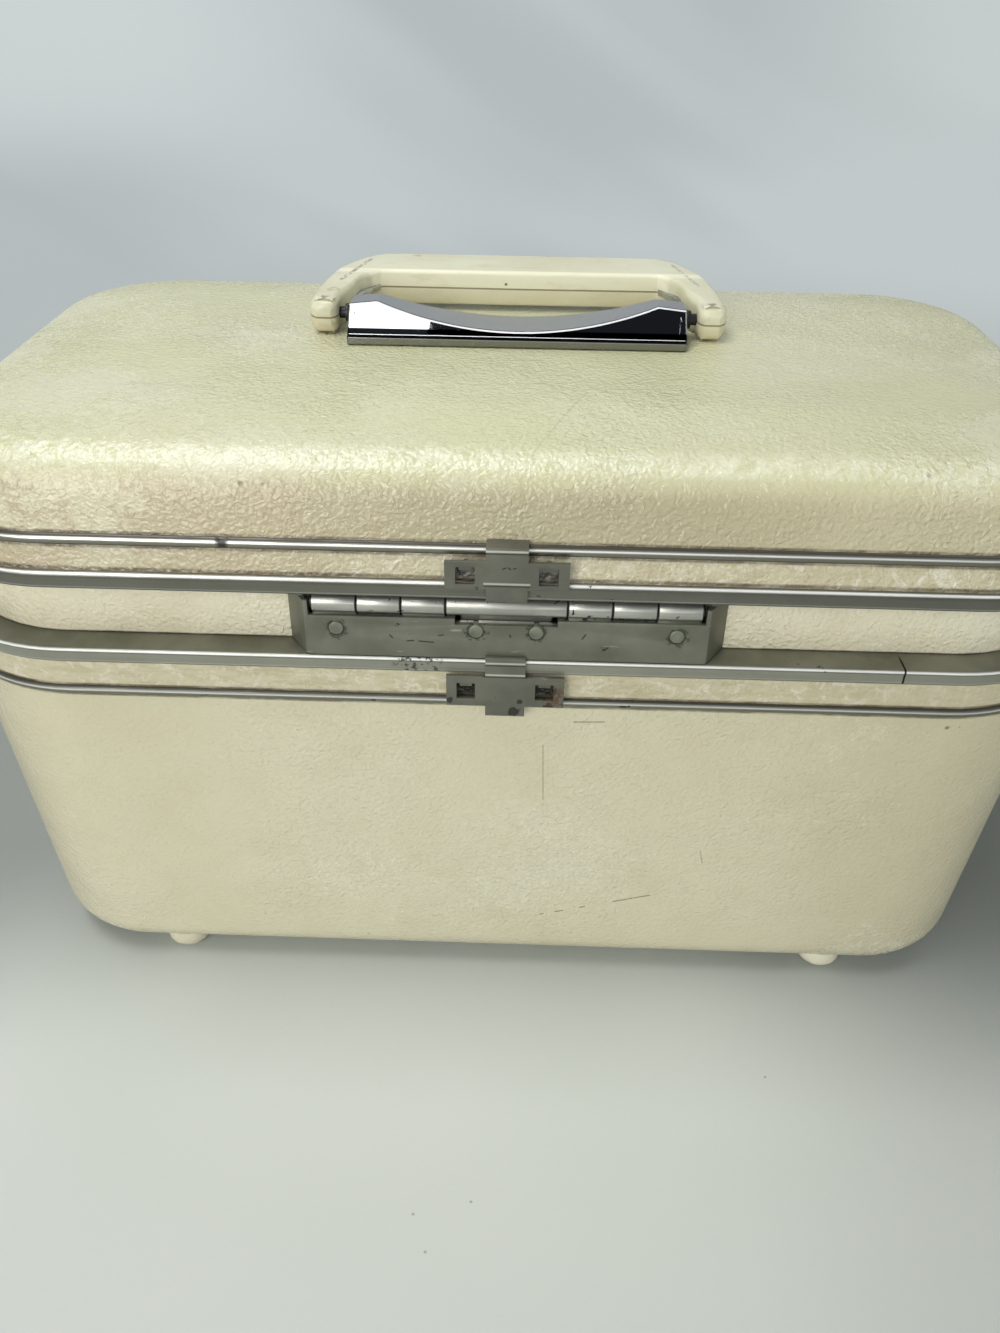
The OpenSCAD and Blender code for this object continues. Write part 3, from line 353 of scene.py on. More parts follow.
def rolled_line(o_a, z_a, o_b, z_b, radius, rise=0, steps=14):
    """A wall that leans in from its rim, and rolls over into a flat or crowned end."""
    way = 1 if z_b > z_a else -1
    lean = atan((o_a - o_b) / (abs(z_b - z_a) - radius))
    slope = atan(rise * pi / 2 / (corner + o_b - radius))
    last = pi / 2 - slope
    line = [(o_a, z_a)]
    for i in range(steps + 1):
        t = lean + (last - lean) * i / steps
        line.append((o_b - radius + radius * cos(t), z_b + way * radius * (sin(t) - 1)))
    if rise:
        o_end, z_end = line[-1]
        for share in (0.12, 0.25, 0.4, 0.55, 0.7, 0.82):
            line.append((o_end - (corner + o_end) * share, z_end + rise * sin(pi / 2 * share)))
    else:
        line.append((flat_end_out, z_b))
    return line


def recalculate():
    edit_all()
    bpy.ops.mesh.remove_doubles(threshold=2e-6)
    bpy.ops.mesh.normals_make_consistent()
    leave_edit()


def finish_shape(piece, angle):
    """Applies what modifiers are left and smooths the faces under an angle."""
    choose(piece)
    for modifier in list(piece.modifiers):
        bpy.ops.object.modifier_apply(modifier=modifier.name)
    bpy.ops.object.shade_smooth_by_angle(angle=radians(angle))


def walled_shell(name, line):
    """A shell whose outside follows a line of (out, height), with its wall inside."""
    piece = stepped_rings(name, line)
    recalculate()
    wall = piece.modifiers.new("wall", "SOLIDIFY")
    wall.thickness = shell_wall
    finish_shape(piece, 40)
    return piece


def fit(piece, body, node, slot, *finishes):
    """Hangs a piece on its body, hides the node it stands for and gives its finish."""
    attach(piece, body)
    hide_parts(node)
    piece.data.materials.clear()
    for finish in finishes:
        piece.data.materials.append(finish)


def near(finish, height, where, reach):
    """1 at a height, fading to 0 at its reach above and below."""
    return finish.fade(abs(height - where), reach, reach * 0.2)


def scratch(finish, along, up, start, end, width):
    """1 on a thin straight scratch between two points of a wall."""
    run = hypot(end[0] - start[0], end[1] - start[1])
    dir_x = (end[0] - start[0]) / run
    dir_z = (end[1] - start[1]) / run
    far = (along - start[0]) * dir_x + (up - start[1]) * dir_z
    aside = abs((along - start[0]) * dir_z - (up - start[1]) * dir_x)
    on = finish.fade(abs(far - run / 2), run / 2 + width, run / 2 - width)
    return finish.fade(aside, width, width * 0.4) * on


def spot(finish, place, radius):
    """1 within a small round mark."""
    return finish.fade(finish.away(place), radius, radius * 0.5)


def cream_hide(name, trims, light, dark, crinkle):
    """Cream vinyl hide, the ground for each part. Dirt gathers where metal trim meets it."""
    hide = Finish(name, IOR=1.6)
    hide.x, hide.y, hide.z = hide.parts(hide.at)
    hide.ground(hide.patches(0.35, 0.68, 7, 2), dark, light)
    hide.lay(hide.patches(0.44, 0.7, 45, 4, 0.62) * 0.25, 198, 188, 154)
    coarse = hide.noise(15, 3, 0.55, stretch=(1, 1.2, 1.2))
    hide.fine = hide.noise(230, 5, 0.75, 0.6)
    hide.ragged = coarse + hide.fine * 0.6
    grime = hide.patches(0.3, 0.62, 90, 3, 0.6)
    edge = sum(near(hide, hide.z, trim, 0.0008) for trim in trims)
    speck = hide.fade(hide.cells(24), 0.028, 0.012) * hide.patches(0.56, 0.64, 9)
    hide.dirt = hide.most((0.4 + grime * 0.5) * edge, speck * 0.55)
    grain = hide.cells(700, "SMOOTH_F1", (1, 1, 1.3))
    hide.crease = hide.noise(420, 2, 0.55, 1.2)
    worn = hide.patches(0.42, 0.6, 14, 2)
    swell = hide.noise(26, 2)
    hide.rise = (grain * 0.5 + hide.crease * 0.9) * (crinkle + worn * crinkle * 0.8) + swell * 2.4
    return hide


def worn_strip(hide, low, high, stain, flecks):
    """The hide between a bead and its frame: streaks of a stain, and pale flecks."""
    strip = hide.fade(hide.z, low, high)
    streak = hide.patches(0.4, 0.66, 190, 4, 0.65, stretch=(0.5, 1, 2))
    hide.lay(strip * (0.25 + streak * 0.6), *stain)
    hide.lay(strip * hide.fade(hide.fine, 0.5, 0.62) * 0.55, *flecks)


def clip_hole_shade(hide, out, z, reach):
    """Painted shade and dirt on the hide that shows through the two square holes of a joint clip."""
    holes = hide.fade(abs(abs(hide.x) - out), 0.0042, 0.0038)
    holes = holes * hide.fade(abs(hide.z - z), reach, reach - 0.0004)
    hide.lay(holes * hide.fade(hide.y, 0.08, 0.085), 44, 41, 34)


def hide_finish(hide, flake):
    """Lays the pale flakes and the dirt over the ground and feeds the shader."""
    hide.lay(flake * 0.38, 226, 224, 205)
    hide.lay(hide.dirt, 98, 88, 66)
    return hide.wear(
        Roughness=0.2 + flake * 0.08 + hide.crease * 0.08, Normal=hide.bump(hide.rise, 0.001, 0.8))


def base_hide_finish():
    """The base's hide has thin scratches and a few black specks on its back, and painted shade darkens both
    its ends.
    """
    hide = cream_hide("base_hide", base_trims, (213, 207, 180), (208, 201, 171), 0.4)
    x, z = hide.x, hide.z
    worn_strip(hide, 0.1295, 0.131, (188, 177, 143), (226, 219, 200))
    clip_hole_shade(hide, 0.0108, 0.1336, 0.0034)
    # Painted shade: both ends of the wall are darkened, the left more than the right.
    right_end = hide.fade(x, -0.08, -0.13)
    hide.lay(hide.fade(x, 0.135, 0.175) * 0.6 + right_end * 0.45, 186, 179, 148)
    flake = hide.fade(hide.ragged, 0.84, 1.02) * 0.45
    low_right = right_end * hide.fade(z, 0.09, 0.04)
    flake = hide.most(flake, hide.fade(hide.ragged, 0.76, 0.94) * low_right * 0.7)
    dashes = hide.patches(0.46, 0.54, 260, 1)
    lines = sum((
        scratch(hide, x, z, (-0.0119, 0.1112), (-0.0127, 0.0873), 0.00035) * 0.5,
        scratch(hide, x, z, (-0.0118, 0.0297), (-0.0513, 0.0424), 0.0004) * dashes,
        scratch(hide, x, z, (-0.0207, 0.1209), (-0.0303, 0.1213), 0.0004) * 0.8,
        scratch(hide, x, z, (-0.0657, 0.066), (-0.0672, 0.0595), 0.0003) * 0.5,
    )) * hide.fade(hide.y, 0.08, 0.085)
    specks = sum((
        spot(hide, (0.1414, 0.0886, 0.0287), 0.0008),
        spot(hide, (-0.1325, 0.0967, 0.1228), 0.0009),
        spot(hide, (-0.1363, 0.0967, 0.1229), 0.0006),
        spot(hide, (-0.1383, 0.0948, 0.1014), 0.0008),
        spot(hide, (-0.1374, 0.0928, 0.0779), 0.0006),
    ))
    hide.dirt = hide.most(hide.dirt, hide.work("MINIMUM", lines + specks, 1) * 0.7)
    return hide_finish(hide, flake)


base_line = rolled_line(shell_inset, base_rim_z, base_foot_inset, base_low_z, base_roll)
fit(walled_shell("base_shell_hide", base_line), "base", "base_shell", "shell", base_hide_finish())


# Lid shell. A shallow moulding of the same plastic and hide, with a wide rolled edge
# and a top that rises a little towards its middle. The handle bracket is screwed to
# it, and its rim sits in the groove of the lid frame.
lid_rim_z = 0.1671
lid_top_inset = -0.006
lid_edge_z = 0.203
lid_roll = 0.0167
lid_crown = 0.0024
lid_crown_steps = 18
lid_trims = 0.1704, 0.1768, 0.1805


def lid_hide_finish():
    """The lid's hide is greener on top, with feathery pale flakes, and tan on its back, the tan deepened as
    painted shade. A painted highlight runs along the roll, and painted shade darkens the right of the top.
    """
    hide = cream_hide("lid_hide", lid_trims, (210, 205, 174), (204, 197, 166), 0.6)
    x, y, z = hide.x, hide.y, hide.z
    # The back wall's tan is partly the hide's own stain and partly painted shade.
    wall_tan_and_shade = hide.fade(x, 0.115, 0.02) * (1 - hide.fade(x, -0.05, -0.1) * 0.4)
    wall_tan_and_shade = wall_tan_and_shade * hide.fade(z, 0.2, 0.192) * hide.fade(z, 0.175, 0.182)
    hide.lay(wall_tan_and_shade * 0.95, 175, 166, 133)
    worn_strip(hide, 0.1776, 0.1768, (186, 175, 143), (228, 219, 202))
    mottle = hide.fade(hide.noise(24, 3, 0.6) + hide.fine * 0.6, 0.76, 0.88)
    mottle = mottle * hide.fade(z, 0.2, 0.194) * hide.fade(x, -0.08, 0.03)
    hide.lay(mottle * 0.7, 178, 163, 131)
    over = hide.fade(z, lid_edge_z - 0.011, lid_edge_z - 0.002)
    crown = hide.mix(hide.patches(0.35, 0.7, 9, 2), shade(205, 206, 165), shade(210, 208, 175))
    hide.colour = hide.mix(over, hide.colour, crown)
    # A painted highlight along the roll, broken up by the fine noise.
    roll_painted_highlight = hide.fade(abs(z - lid_edge_z + 0.0028), 0.003, 0.0008) * hide.fade(hide.fine, 0.36, 0.6)
    hide.lay(roll_painted_highlight * 0.5, 240, 240, 220)
    clip_hole_shade(hide, 0.0104, 0.1722, 0.0029)
    # Painted shade over the right of the top.
    hide.lay(over * hide.fade(x, -0.06, -0.15) * 0.3, 184, 182, 146)
    side = hide.fade(abs(x), 0.045, 0.1) * 0.06
    roll = near(hide, z, lid_edge_z - 0.004, 0.007) * hide.fade(x, -0.02, 0.05) * 0.07
    calm = over * hide.fade(abs(x + 0.03), 0.12, 0.06) * hide.fade(y, 0.088, 0.078) * 0.6
    flake = hide.fade(hide.ragged + side * over + roll, 0.82, 1) * (1 - wall_tan_and_shade * 0.75) * (1 - calm)
    seam = scratch(hide, x, y, (-0.006, 0.085), (-0.022, 0.045), 0.0005) * over
    marks = sum((
        spot(hide, (0.0728, 0.0921, 0.1947), 0.001),
        spot(hide, (0.0668, 0.0921, 0.1945), 0.0008),
        spot(hide, (-0.1125, 0.0881, 0.2005), 0.0017) * hide.fade(hide.fine, 0.42, 0.55),
        spot(hide, (-0.0738, 0.0885, 0.2), 0.0013) * hide.fade(hide.fine, 0.45, 0.6),
    )) + seam * 0.2
    hide.dirt = hide.most(hide.dirt, hide.work("MINIMUM", marks, 1) * 0.6)
    return hide_finish(hide, flake)


lid_line = rolled_line(
    shell_inset, lid_rim_z, lid_top_inset, lid_edge_z, lid_roll, lid_crown, lid_crown_steps)
fit(walled_shell("lid_shell_hide", lid_line), "lid", "lid_shell", "shell", lid_hide_finish())


# Base and lid frames. Aluminium extrusions bent round the case, each with a groove
# that grips the rim of its shell. The base frame also has the ledge and the upright web
# that the lid closes over. A raised line runs along the upper edge of both.
def closed_ring(name, smooth, widest, above, below):
    """A ring with a closed section: steps up and down from its widest line, in millimetres."""
    strands = []
    for steps in (above, below):
        strands.append(stepped_rings(name, [(out / 1000, z / 1000) for out, z in (widest, *steps)]))
        bpy.ops.mesh.delete(type="FACE")
        leave_edit()
    choose(strands[0])
    strands[1].select_set(True)
    bpy.ops.object.join()
    edit_all()
    bpy.ops.mesh.remove_doubles(threshold=1e-6)
    bpy.ops.mesh.select_non_manifold(extend=False, use_non_contiguous=False, use_verts=False)
    bpy.ops.mesh.bridge_edge_loops()
    recalculate()
    finish_shape(strands[0], smooth)
    return strands[0]


def frame_metal(name, low_z, high_z, tone, seam_x=None, chips_x=None):
    """Dull grey aluminium with nicks and a darker olive top, a painted highlight along its upper edge and a
    fainter one above its foot, and painted shade under the highlight and along its foot.
    """
    metal = Finish(name)
    x, y, z = metal.parts(metal.at)
    streak = metal.noise(22, 3, 0.6, stretch=(1, 1, 60))
    dull = metal.patches(0.35, 0.7, 30, 4, 0.6)
    dim = [round(c * tone) for c in (132, 133, 120)]
    clear = [round(c * tone) for c in (152, 152, 141)]
    metal.ground(streak, dim, clear)
    metal.lay(dull * 0.35, *[round(c * 0.86) for c in dim])
    chip = metal.patches(0.66, 0.69, 240, 4, 0.62, stretch=(0.7, 0.7, 1.5))
    chip = chip * metal.patches(0.55, 0.62, 17, 2)
    if chips_x:
        flaked = metal.fade(abs(x - chips_x), 0.0085, 0.005) * metal.fade(y, 0.09, 0.095)
        flaked = flaked * metal.patches(0.52, 0.58, 620, 4, 0.65)
        chip = metal.most(chip, flaked)
    nick = metal.fade(metal.cells(60, stretch=(0.45, 0.45, 1.4)), 0.055, 0.03)
    nick = nick * metal.patches(0.56, 0.6, 21, 1)
    # Painted highlights: a bright line along the upper edge and a fainter one above the foot.
    bright = near(metal, z, high_z - 0.00055, 0.00048)
    foot = near(metal, z, low_z + 0.00075, 0.0003)
    metal.lay(bright * (0.95 - dull * 0.2), 240, 241, 238)
    metal.lay(foot * 0.35, 196, 196, 188)
    # Painted shade along the foot.
    line = metal.fade(z, low_z + 0.00055, low_z + 0.0002)
    metal.lay(line * 0.85, 40, 38, 32)
    upper = metal.fade(z, high_z - 0.0002, high_z - 0.00004)
    upper = upper * metal.fade(z, high_z + 0.0006, high_z + 0.0002)
    rim = upper * metal.patches(0.2, 0.6, 70, 3)
    metal.lay(upper * (0.3 + dull * 0.4), 108, 108, 88)
    # Painted shade just under the upper highlight.
    under_edge_painted_shade = near(metal, z, high_z - 0.0012, 0.00028)
    metal.lay(under_edge_painted_shade * 0.5, 70, 70, 60)
    metal.lay(chip * 0.9, 46, 45, 40)
    metal.lay(nick, 214, 214, 208)
    if seam_x:
        seam = metal.fade(abs(x - seam_x), 0.0004, 0.0002) * metal.fade(y, 0.09, 0.095)
        metal.lay(seam, 30, 30, 27)
    return metal.wear(
        Metallic=0.72 - chip * 0.6 - line * 0.5 - nick * 0.5 - bright * 0.45,
        Roughness=0.36 + dull * 0.14 + streak * 0.08 + rim * 0.1,
        Normal=metal.bump(streak * 0.5 - chip * 1.2 - nick * 0.8, 0.0002, 0.5))


base_frame_z = 0.1399, 0.1448
frame_seam_x = -0.1147
frame_chips_x = 0.0255
base_frame = closed_ring(
    "base_frame_rail", 35, (0, 143.9),
    [(-0.05, 144.15), (-0.18, 144.38), (-0.36, 144.57), (-0.6, 144.71), (-0.9, 144.8),
     (-10.8, 144.8), (-10.8, 164.4), (-11.5, 164.4), (-11.5, 167.4), (-11.8, 167.7), (-13, 167.7)],
    [(-0.06, 143.7), (-0.26, 143.5), (-0.32, 143.2), (-0.34, 140.6), (-0.45, 140.2), (-0.75, 139.95),
     (-0.95, 139.9), (-1.5, 139.9), (-1.5, 142.6), (-5.2, 142.6), (-5.2, 136.6), (-7, 136.6),
     (-7, 142.6), (-13, 142.6)])
# The base frame's tone is raised (1.1) and the lid frame's lowered (0.8), as painted light and shade for
# the light each gets.
fit(base_frame, "base", "base_frame", "frame", frame_metal(
    "base_frame_metal", *base_frame_z, 1.1, frame_seam_x, frame_chips_x))

lid_frame_z = 0.1647, 0.1701
lid_frame = closed_ring(
    "lid_frame_rail", 35, (0, 168.75),
    [(-0.06, 169.05), (-0.2, 169.26), (-0.4, 169.38), (-0.52, 169.4), (-0.6, 169.5), (-0.68, 169.74),
     (-0.82, 169.95), (-1.02, 170.07), (-1.2, 170.1), (-1.5, 170.1), (-1.5, 167.1), (-5.5, 167.1),
     (-5.5, 170.7), (-7.3, 170.7), (-7.3, 167.1), (-10.4, 167.1)],
    [(-0.06, 168.5), (-0.22, 168.3), (-0.27, 168), (-0.28, 165.7), (-0.32, 165.3), (-0.42, 165),
     (-0.6, 164.8), (-0.85, 164.7), (-10.4, 164.7)])
# The lower tone (0.8) here is painted shade.
fit(lid_frame, "lid", "lid_frame", "frame", frame_metal("lid_frame_metal", *lid_frame_z, 0.8))


# Beads. Strips of polished metal with a rounded face, pressed round both shells a little
# way from the frames. They have worn to a dull shine, with dirt at both edges, and the
# lid's has one dark dent. The back of each follows the lean of its shell.
bead_h = 0.0031
bead_proud = 0.0012
bead_gap = 0.0002
base_bead_z = 0.1272
lid_bead_z = 0.1772
lid_dent_x = 0.0786


def bead_ring(name, low_z, wall):
    """A bead whose back leans as a shell's wall, given by two points, leans."""
    (out_a, z_a), (out_b, z_b) = wall
    section = []
    for angle in range(-90, 91, 15):
        t = radians(angle)
        z = low_z + bead_h * (1 + sin(t)) / 2
        wall_out = out_a + (out_b - out_a) * (z - z_a) / (z_b - z_a)
        out = wall_out + bead_gap + (bead_proud - bead_gap) * cos(t)
        section.append((out * 1000, z * 1000))
    peak = max(range(len(section)), key=lambda i: section[i][0])
    return closed_ring(name, 30, section[peak], section[peak + 1:], section[:peak][::-1])


def bead_metal(name, low_z, dent_x):
    """Metal worn to a dull shine, with a painted highlight along it, painted shade over its lower half, and
    grime at both edges.
    """
    metal = Finish(name)
    x, y, z = metal.parts(metal.at)
    streak = metal.noise(26, 3, 0.6, stretch=(1, 1, 40))
    tarnish = metal.patches(0.4, 0.68, 42, 4, 0.62)
    metal.ground(streak, (124, 124, 114), (158, 158, 149))
    metal.lay(tarnish * 0.5, 118, 116, 103)
    # Painted shade over the lower half of the bead.
    lower = metal.fade(z, low_z + 0.0018, low_z + 0.0013)
    metal.lay(lower * 0.8, 128, 126, 112)
    # A painted highlight along the bead.
    glint = near(metal, z, low_z + 0.0019, 0.0004)
    metal.lay(glint * 0.8, 235, 235, 230)
    low = metal.fade(z, low_z + 0.0007, low_z + 0.0003)
    high = metal.fade(z, low_z + bead_h - 0.0008, low_z + bead_h - 0.0004)
    grime = (low + high) * metal.patches(0.05, 0.4, 60, 3)
    metal.lay(grime * 0.85, 48, 44, 35)
    mark = metal.patches(0.68, 0.71, 150, 3, stretch=(1, 1, 2))
    if dent_x:
        dent = metal.fade(abs(x - dent_x), 0.0022, 0.0006) * metal.fade(y, 0.09, 0.095)
        mark = metal.most(mark, dent * metal.patches(0.3, 0.5, 500, 2))
    metal.lay(mark, 44, 42, 36)
    return metal.wear(
        Metallic=0.85 - grime * 0.6 - mark * 0.6,
        Roughness=0.26 + tarnish * 0.18 + streak * 0.06,
        Normal=metal.bump(streak * 0.3 - mark * 1.5, 0.00025, 0.5))


for part, bead_z, line, dent_x in (
        ("base", base_bead_z, base_line, None), ("lid", lid_bead_z, lid_line, lid_dent_x)):
    bead = bead_ring(part + "_bead_strip", bead_z, line[:2])
    fit(bead, part, part + "_bead", "bead", bead_metal(part + "_bead_metal", bead_z, dent_x))


# Inlay band. A strip of the cream hide glued to the upright web of the base frame, in
# the recess between the two frames.
recess_band = closed_ring(
    "recess_band_inlay", 40, (-9.55, 154.6),
    [(-9.6, 163.7), (-9.8, 164.2), (-10.2, 164.4), (-10.8, 164.4)],
    [(-9.6, 145.5), (-9.8, 145), (-10.2, 144.8), (-10.8, 144.8)])
# The band's hide is painted lighter than the shell's, as painted light for what reaches into the recess.
band_hide = cream_hide("band_hide", (0.1448, 0.1645), (236, 231, 205), (230, 223, 195), 0.7)
fit(recess_band, "base", "recess_band", "band",
    hide_finish(band_hide, band_hide.fade(band_hide.ragged, 0.84, 1)))


# Joint clips. Stamped steel plates, painted grey, that bridge the butt joints of frame
# and bead at the middle of the back. Barbs punched out of two square holes bite into
# the shell, and the middle tab folds over the bead and the frame.
def eased(node, made, width, steps=2, angle=30, smooth=35, clamp=True, split=False):
    """A copy of a node with its sharp edges rounded a little, named for how it is made."""
    clear_choice()
    piece = nodes[node].copy()
    piece.data = nodes[node].data.copy()
    piece.name = node + "_" + made
    piece.data.name = piece.name
    piece.parent = None
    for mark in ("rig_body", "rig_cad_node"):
        piece.pop(mark, None)
    scene.collection.objects.link(piece)
    choose(piece)
    edit_all()
    bpy.ops.mesh.remove_doubles(threshold=1e-6)
    bpy.ops.mesh.dissolve_limited(angle_limit=radians(0.4))
    if split:
        bpy.ops.mesh.quads_convert_to_tris()
    leave_edit()
    edge = piece.modifiers.new("edge", "BEVEL")
    edge.width = width
    edge.segments = steps
    edge.angle_limit = radians(angle)
    edge.miter_outer = "MITER_ARC"
    edge.use_clamp_overlap = clamp
    finish_shape(piece, smooth)
    return piece


def dress(node, made, body, slot, finish, width, **easing):
    """Stands an eased copy of a node in its place."""
    fit(eased(node, made, width, **easing), body, node, slot, finish)


def flat_spot(finish, x, z, place, radius, ragged):
    """1 within a ragged mark on a wall that faces the back."""
    away = finish.work("SQRT", (x - place[0]) * (x - place[0]) + (z - place[1]) * (z - place[1]))
    return finish.fade(away + (ragged - 0.5) * radius * 1.8, radius, radius * 0.8)


def painted_steel(name, light, dark, rust_at=None, rough=0.4, metal=0.35,
                  folds=(), spots=(), strokes=(), rings=()):
    """Grey paint on steel, with chips down to dark metal and a few bright scratches. At each fold it has a
    painted highlight with painted shade just under it.
    """
    paint = Finish(name)
    cloud = paint.patches(0.3, 0.7, 60, 3, 0.6)
    paint.ground(cloud, dark, light)
    chip = paint.patches(0.68, 0.705, 330, 4, 0.62, 0.4)
    chip = chip * paint.patches(0.48, 0.56, 70, 1)
    bare = paint.patches(0.7, 0.74, 900, 2, 0.5, 0.3, stretch=(0.12, 1, 1))
    bare = bare * paint.patches(0.5, 0.58, 45, 1)
    x, _, z = paint.parts(paint.at)
    ragged = paint.noise(700, 3, 0.6)
    for place, radius in spots:
        chip = paint.most(chip, flat_spot(paint, x, z, place, radius, ragged))
    for start, end in strokes:
        chip = paint.most(chip, scratch(paint, x, z, start, end, 0.00033))
    paint.lay(bare * 0.5, 176, 176, 168)
    tab = paint.fade(abs(x), 0.0066, 0.0063)
    # At each fold, a painted highlight on the tab and painted shade just under it.
    for fold in folds:
        paint.lay(near(paint, z, fold, 0.0005) * tab * 0.7, 206, 206, 196)
        paint.lay(near(paint, z, fold - 0.0007, 0.0004) * tab * 0.8, 52, 50, 44)
    for place in rings:
        ring = flat_spot(paint, x, z, place, 0.0033, ragged)
        paint.lay(ring * 0.75, 58, 56, 48)
    paint.lay(chip * 0.9, 34, 32, 28)
    if rust_at:
        rust = paint.fade(paint.away(rust_at), 0.0075, 0.0015) * paint.patches(0.4, 0.56, 520, 4, 0.65)
        paint.lay(rust * 0.9, 84, 58, 36)
        chip = paint.most(chip, rust)
    return paint.wear(
        Metallic=metal - chip * metal * 0.8, Roughness=rough + chip * 0.25 + cloud * 0.06,
        Normal=paint.bump(cloud * 0.3 - chip * 1.3 - bare * 0.3, 0.00015, 0.5))


clip_edge, fine_edge, soft_edge, wide_edge = 0.0001, 0.0002, 0.0003, 0.0006
dress("lid_joint_clip", "plate", "lid", "clip", painted_steel(
    "lid_clip_paint", (110, 110, 98), (94, 94, 83), folds=(0.1806, 0.1706),
    strokes=[((0.0012, 0.1752), (0.0002, 0.1757)), ((-0.0003, 0.1758), (-0.0011, 0.1751)),
             ((-0.0016, 0.1753), (-0.0026, 0.1757))]), clip_edge, split=True)
dress("base_joint_clip", "plate", "base", "clip", painted_steel(
    "base_clip_paint", (112, 112, 100), (94, 94, 83), (-0.0165, 0.1, 0.132),
    folds=(0.1444, 0.1404),
    spots=[((-0.0025, 0.1277), 0.0019), ((0.0066, 0.1275), 0.0009), ((0.0162, 0.1312), 0.0011),
           ((-0.0135, 0.1352), 0.0017), ((-0.0043, 0.1312), 0.0009), ((-0.0128, 0.1296), 0.0015)]),
    clip_edge, split=True)


# Hinge. A painted pressed pan with sloped ends stands in the recess behind the knuckles.
# Two steel leaves roll round one pin: the base leaf is riveted through the pan, and the
# lid leaf up into the lid frame. The knuckles have worn bright, with black chips.
knuckle_ends = 0.0172, 0.0298, 0.0424
pan_rivet_xs = -0.0485, -0.0086, 0.0086, 0.0485
pan_rivet_z = 0.154
dress("hinge_pan", "pressing", "base", "hinge_paint", painted_steel(
    "pan_paint", (117, 118, 105), (100, 101, 88), rough=0.38,
    strokes=[((0.0333, 0.1523), (0.0323, 0.1512)), ((0.0193, 0.1524), (0.0177, 0.1527)),
             ((-0.0014, 0.1524), (-0.001, 0.1534)), ((-0.0216, 0.1524), (-0.0227, 0.1541)),
             ((0.0284, 0.1503), (0.0262, 0.1506)), ((0.025, 0.1504), (0.0206, 0.1501))],
    rings=[(rivet_x, pan_rivet_z) for rivet_x in pan_rivet_xs]), soft_edge)


def leaf_finish():
    """Bare steel with a grain along the pin, black chips, and painted shade in the gaps between knuckles.
    """
    steel = Finish("leaf_steel")
    x = steel.parts(steel.at)[0]
    streak = steel.noise(40, 3, 0.6, stretch=(1, 30, 30))
    steel.ground(streak, (160, 160, 152), (208, 208, 200))
    # Painted shade in the gaps between knuckles.
    gaps = sum(steel.fade(abs(abs(x) - end), 0.0005, 0.00025) for end in knuckle_ends)
    chip = steel.most(steel.patches(0.64, 0.66, 260, 3, 0.6, 0.5), gaps)
    dull = steel.patches(0.4, 0.65, 55, 3)
    steel.lay(dull * 0.4, 128, 128, 118)
    steel.lay(chip, 26, 25, 23)
    return steel.wear(
        Metallic=0.9 - chip * 0.8, Roughness=0.28 + dull * 0.15 + chip * 0.25,
        Normal=steel.bump(streak * 0.3 - chip, 0.0002, 0.5))


leaf_steel = leaf_finish()
dress("hinge_base_leaf", "rolled", "base", "leaf", leaf_steel, 0.00018)
dress("hinge_lid_leaf", "rolled", "lid", "leaf", leaf_steel, 0.00018)


def plain_steel(name, tone, rough, metal=0.85, dull=0.64):
    """Steel, brass or grey rivet metal with a slight dull cloud over it."""
    steel = Finish(name)
    cloud = steel.patches(0.3, 0.7, 240, 3, 0.6)
    clear = shade(*tone)
    steel.colour = steel.mix(cloud, (*[part * dull for part in clear[:3]], 1), clear)
    return steel.wear(
        Metallic=metal - cloud * 0.1, Roughness=rough + cloud * 0.1, Normal=steel.bump(cloud, 0.00008, 0.4))


rivet_metal = plain_steel("rivet_metal", (126, 129, 113), 0.34, 0.4)
dark_steel = plain_steel("dark_steel", (62, 62, 64), 0.32)
dress("hinge_rivets", "turned", "base", "rivet", rivet_metal, wide_edge, steps=3)
dress("hinge_pin", "turned", "base", "dark_steel", dark_steel, soft_edge, steps=3)
dress("lid_leaf_rivets", "turned", "lid", "rivet", rivet_metal, soft_edge, steps=3)
dress("anchor_rivets", "turned", "base", "rivet", rivet_metal, soft_edge, steps=3)


# Feet. Four studs moulded in cream plastic, cut to the curve of the base's lower edge.
# Each is held by one rivet.
def cream_plastic(name, light, dark, rough=0.34, grime_low=0.5):
    """Moulded cream plastic, slightly glossy, yellowed and dirty in places."""
    plastic = Finish(name, IOR=1.49)
    cloud = plastic.patches(0.3, 0.7, 38, 3, 0.55)
    plastic.ground(cloud, dark, light)
    smear = plastic.patches(grime_low, 0.75, 120, 4, 0.65, stretch=(0.5, 1.6, 1.6))
    plastic.lay(smear * 0.35, 176, 166, 134)
    fleck = plastic.fade(plastic.cells(90), 0.05, 0.03) * plastic.patches(0.6, 0.66, 31)
    plastic.lay(fleck * 0.7, 88, 78, 58)
    return plastic.wear(
        Roughness=rough + smear * 0.14 + cloud * 0.04,
        Normal=plastic.bump(plastic.noise(700, 2), 0.00006, 0.5))


foot_plastic = cream_plastic("foot_plastic", (226, 221, 198), (212, 206, 180))
dress("feet", "moulded", "base", "foot", foot_plastic, fine_edge, smooth=45)
dress("foot_rivets", "turned", "base", "rivet", rivet_metal, soft_edge)


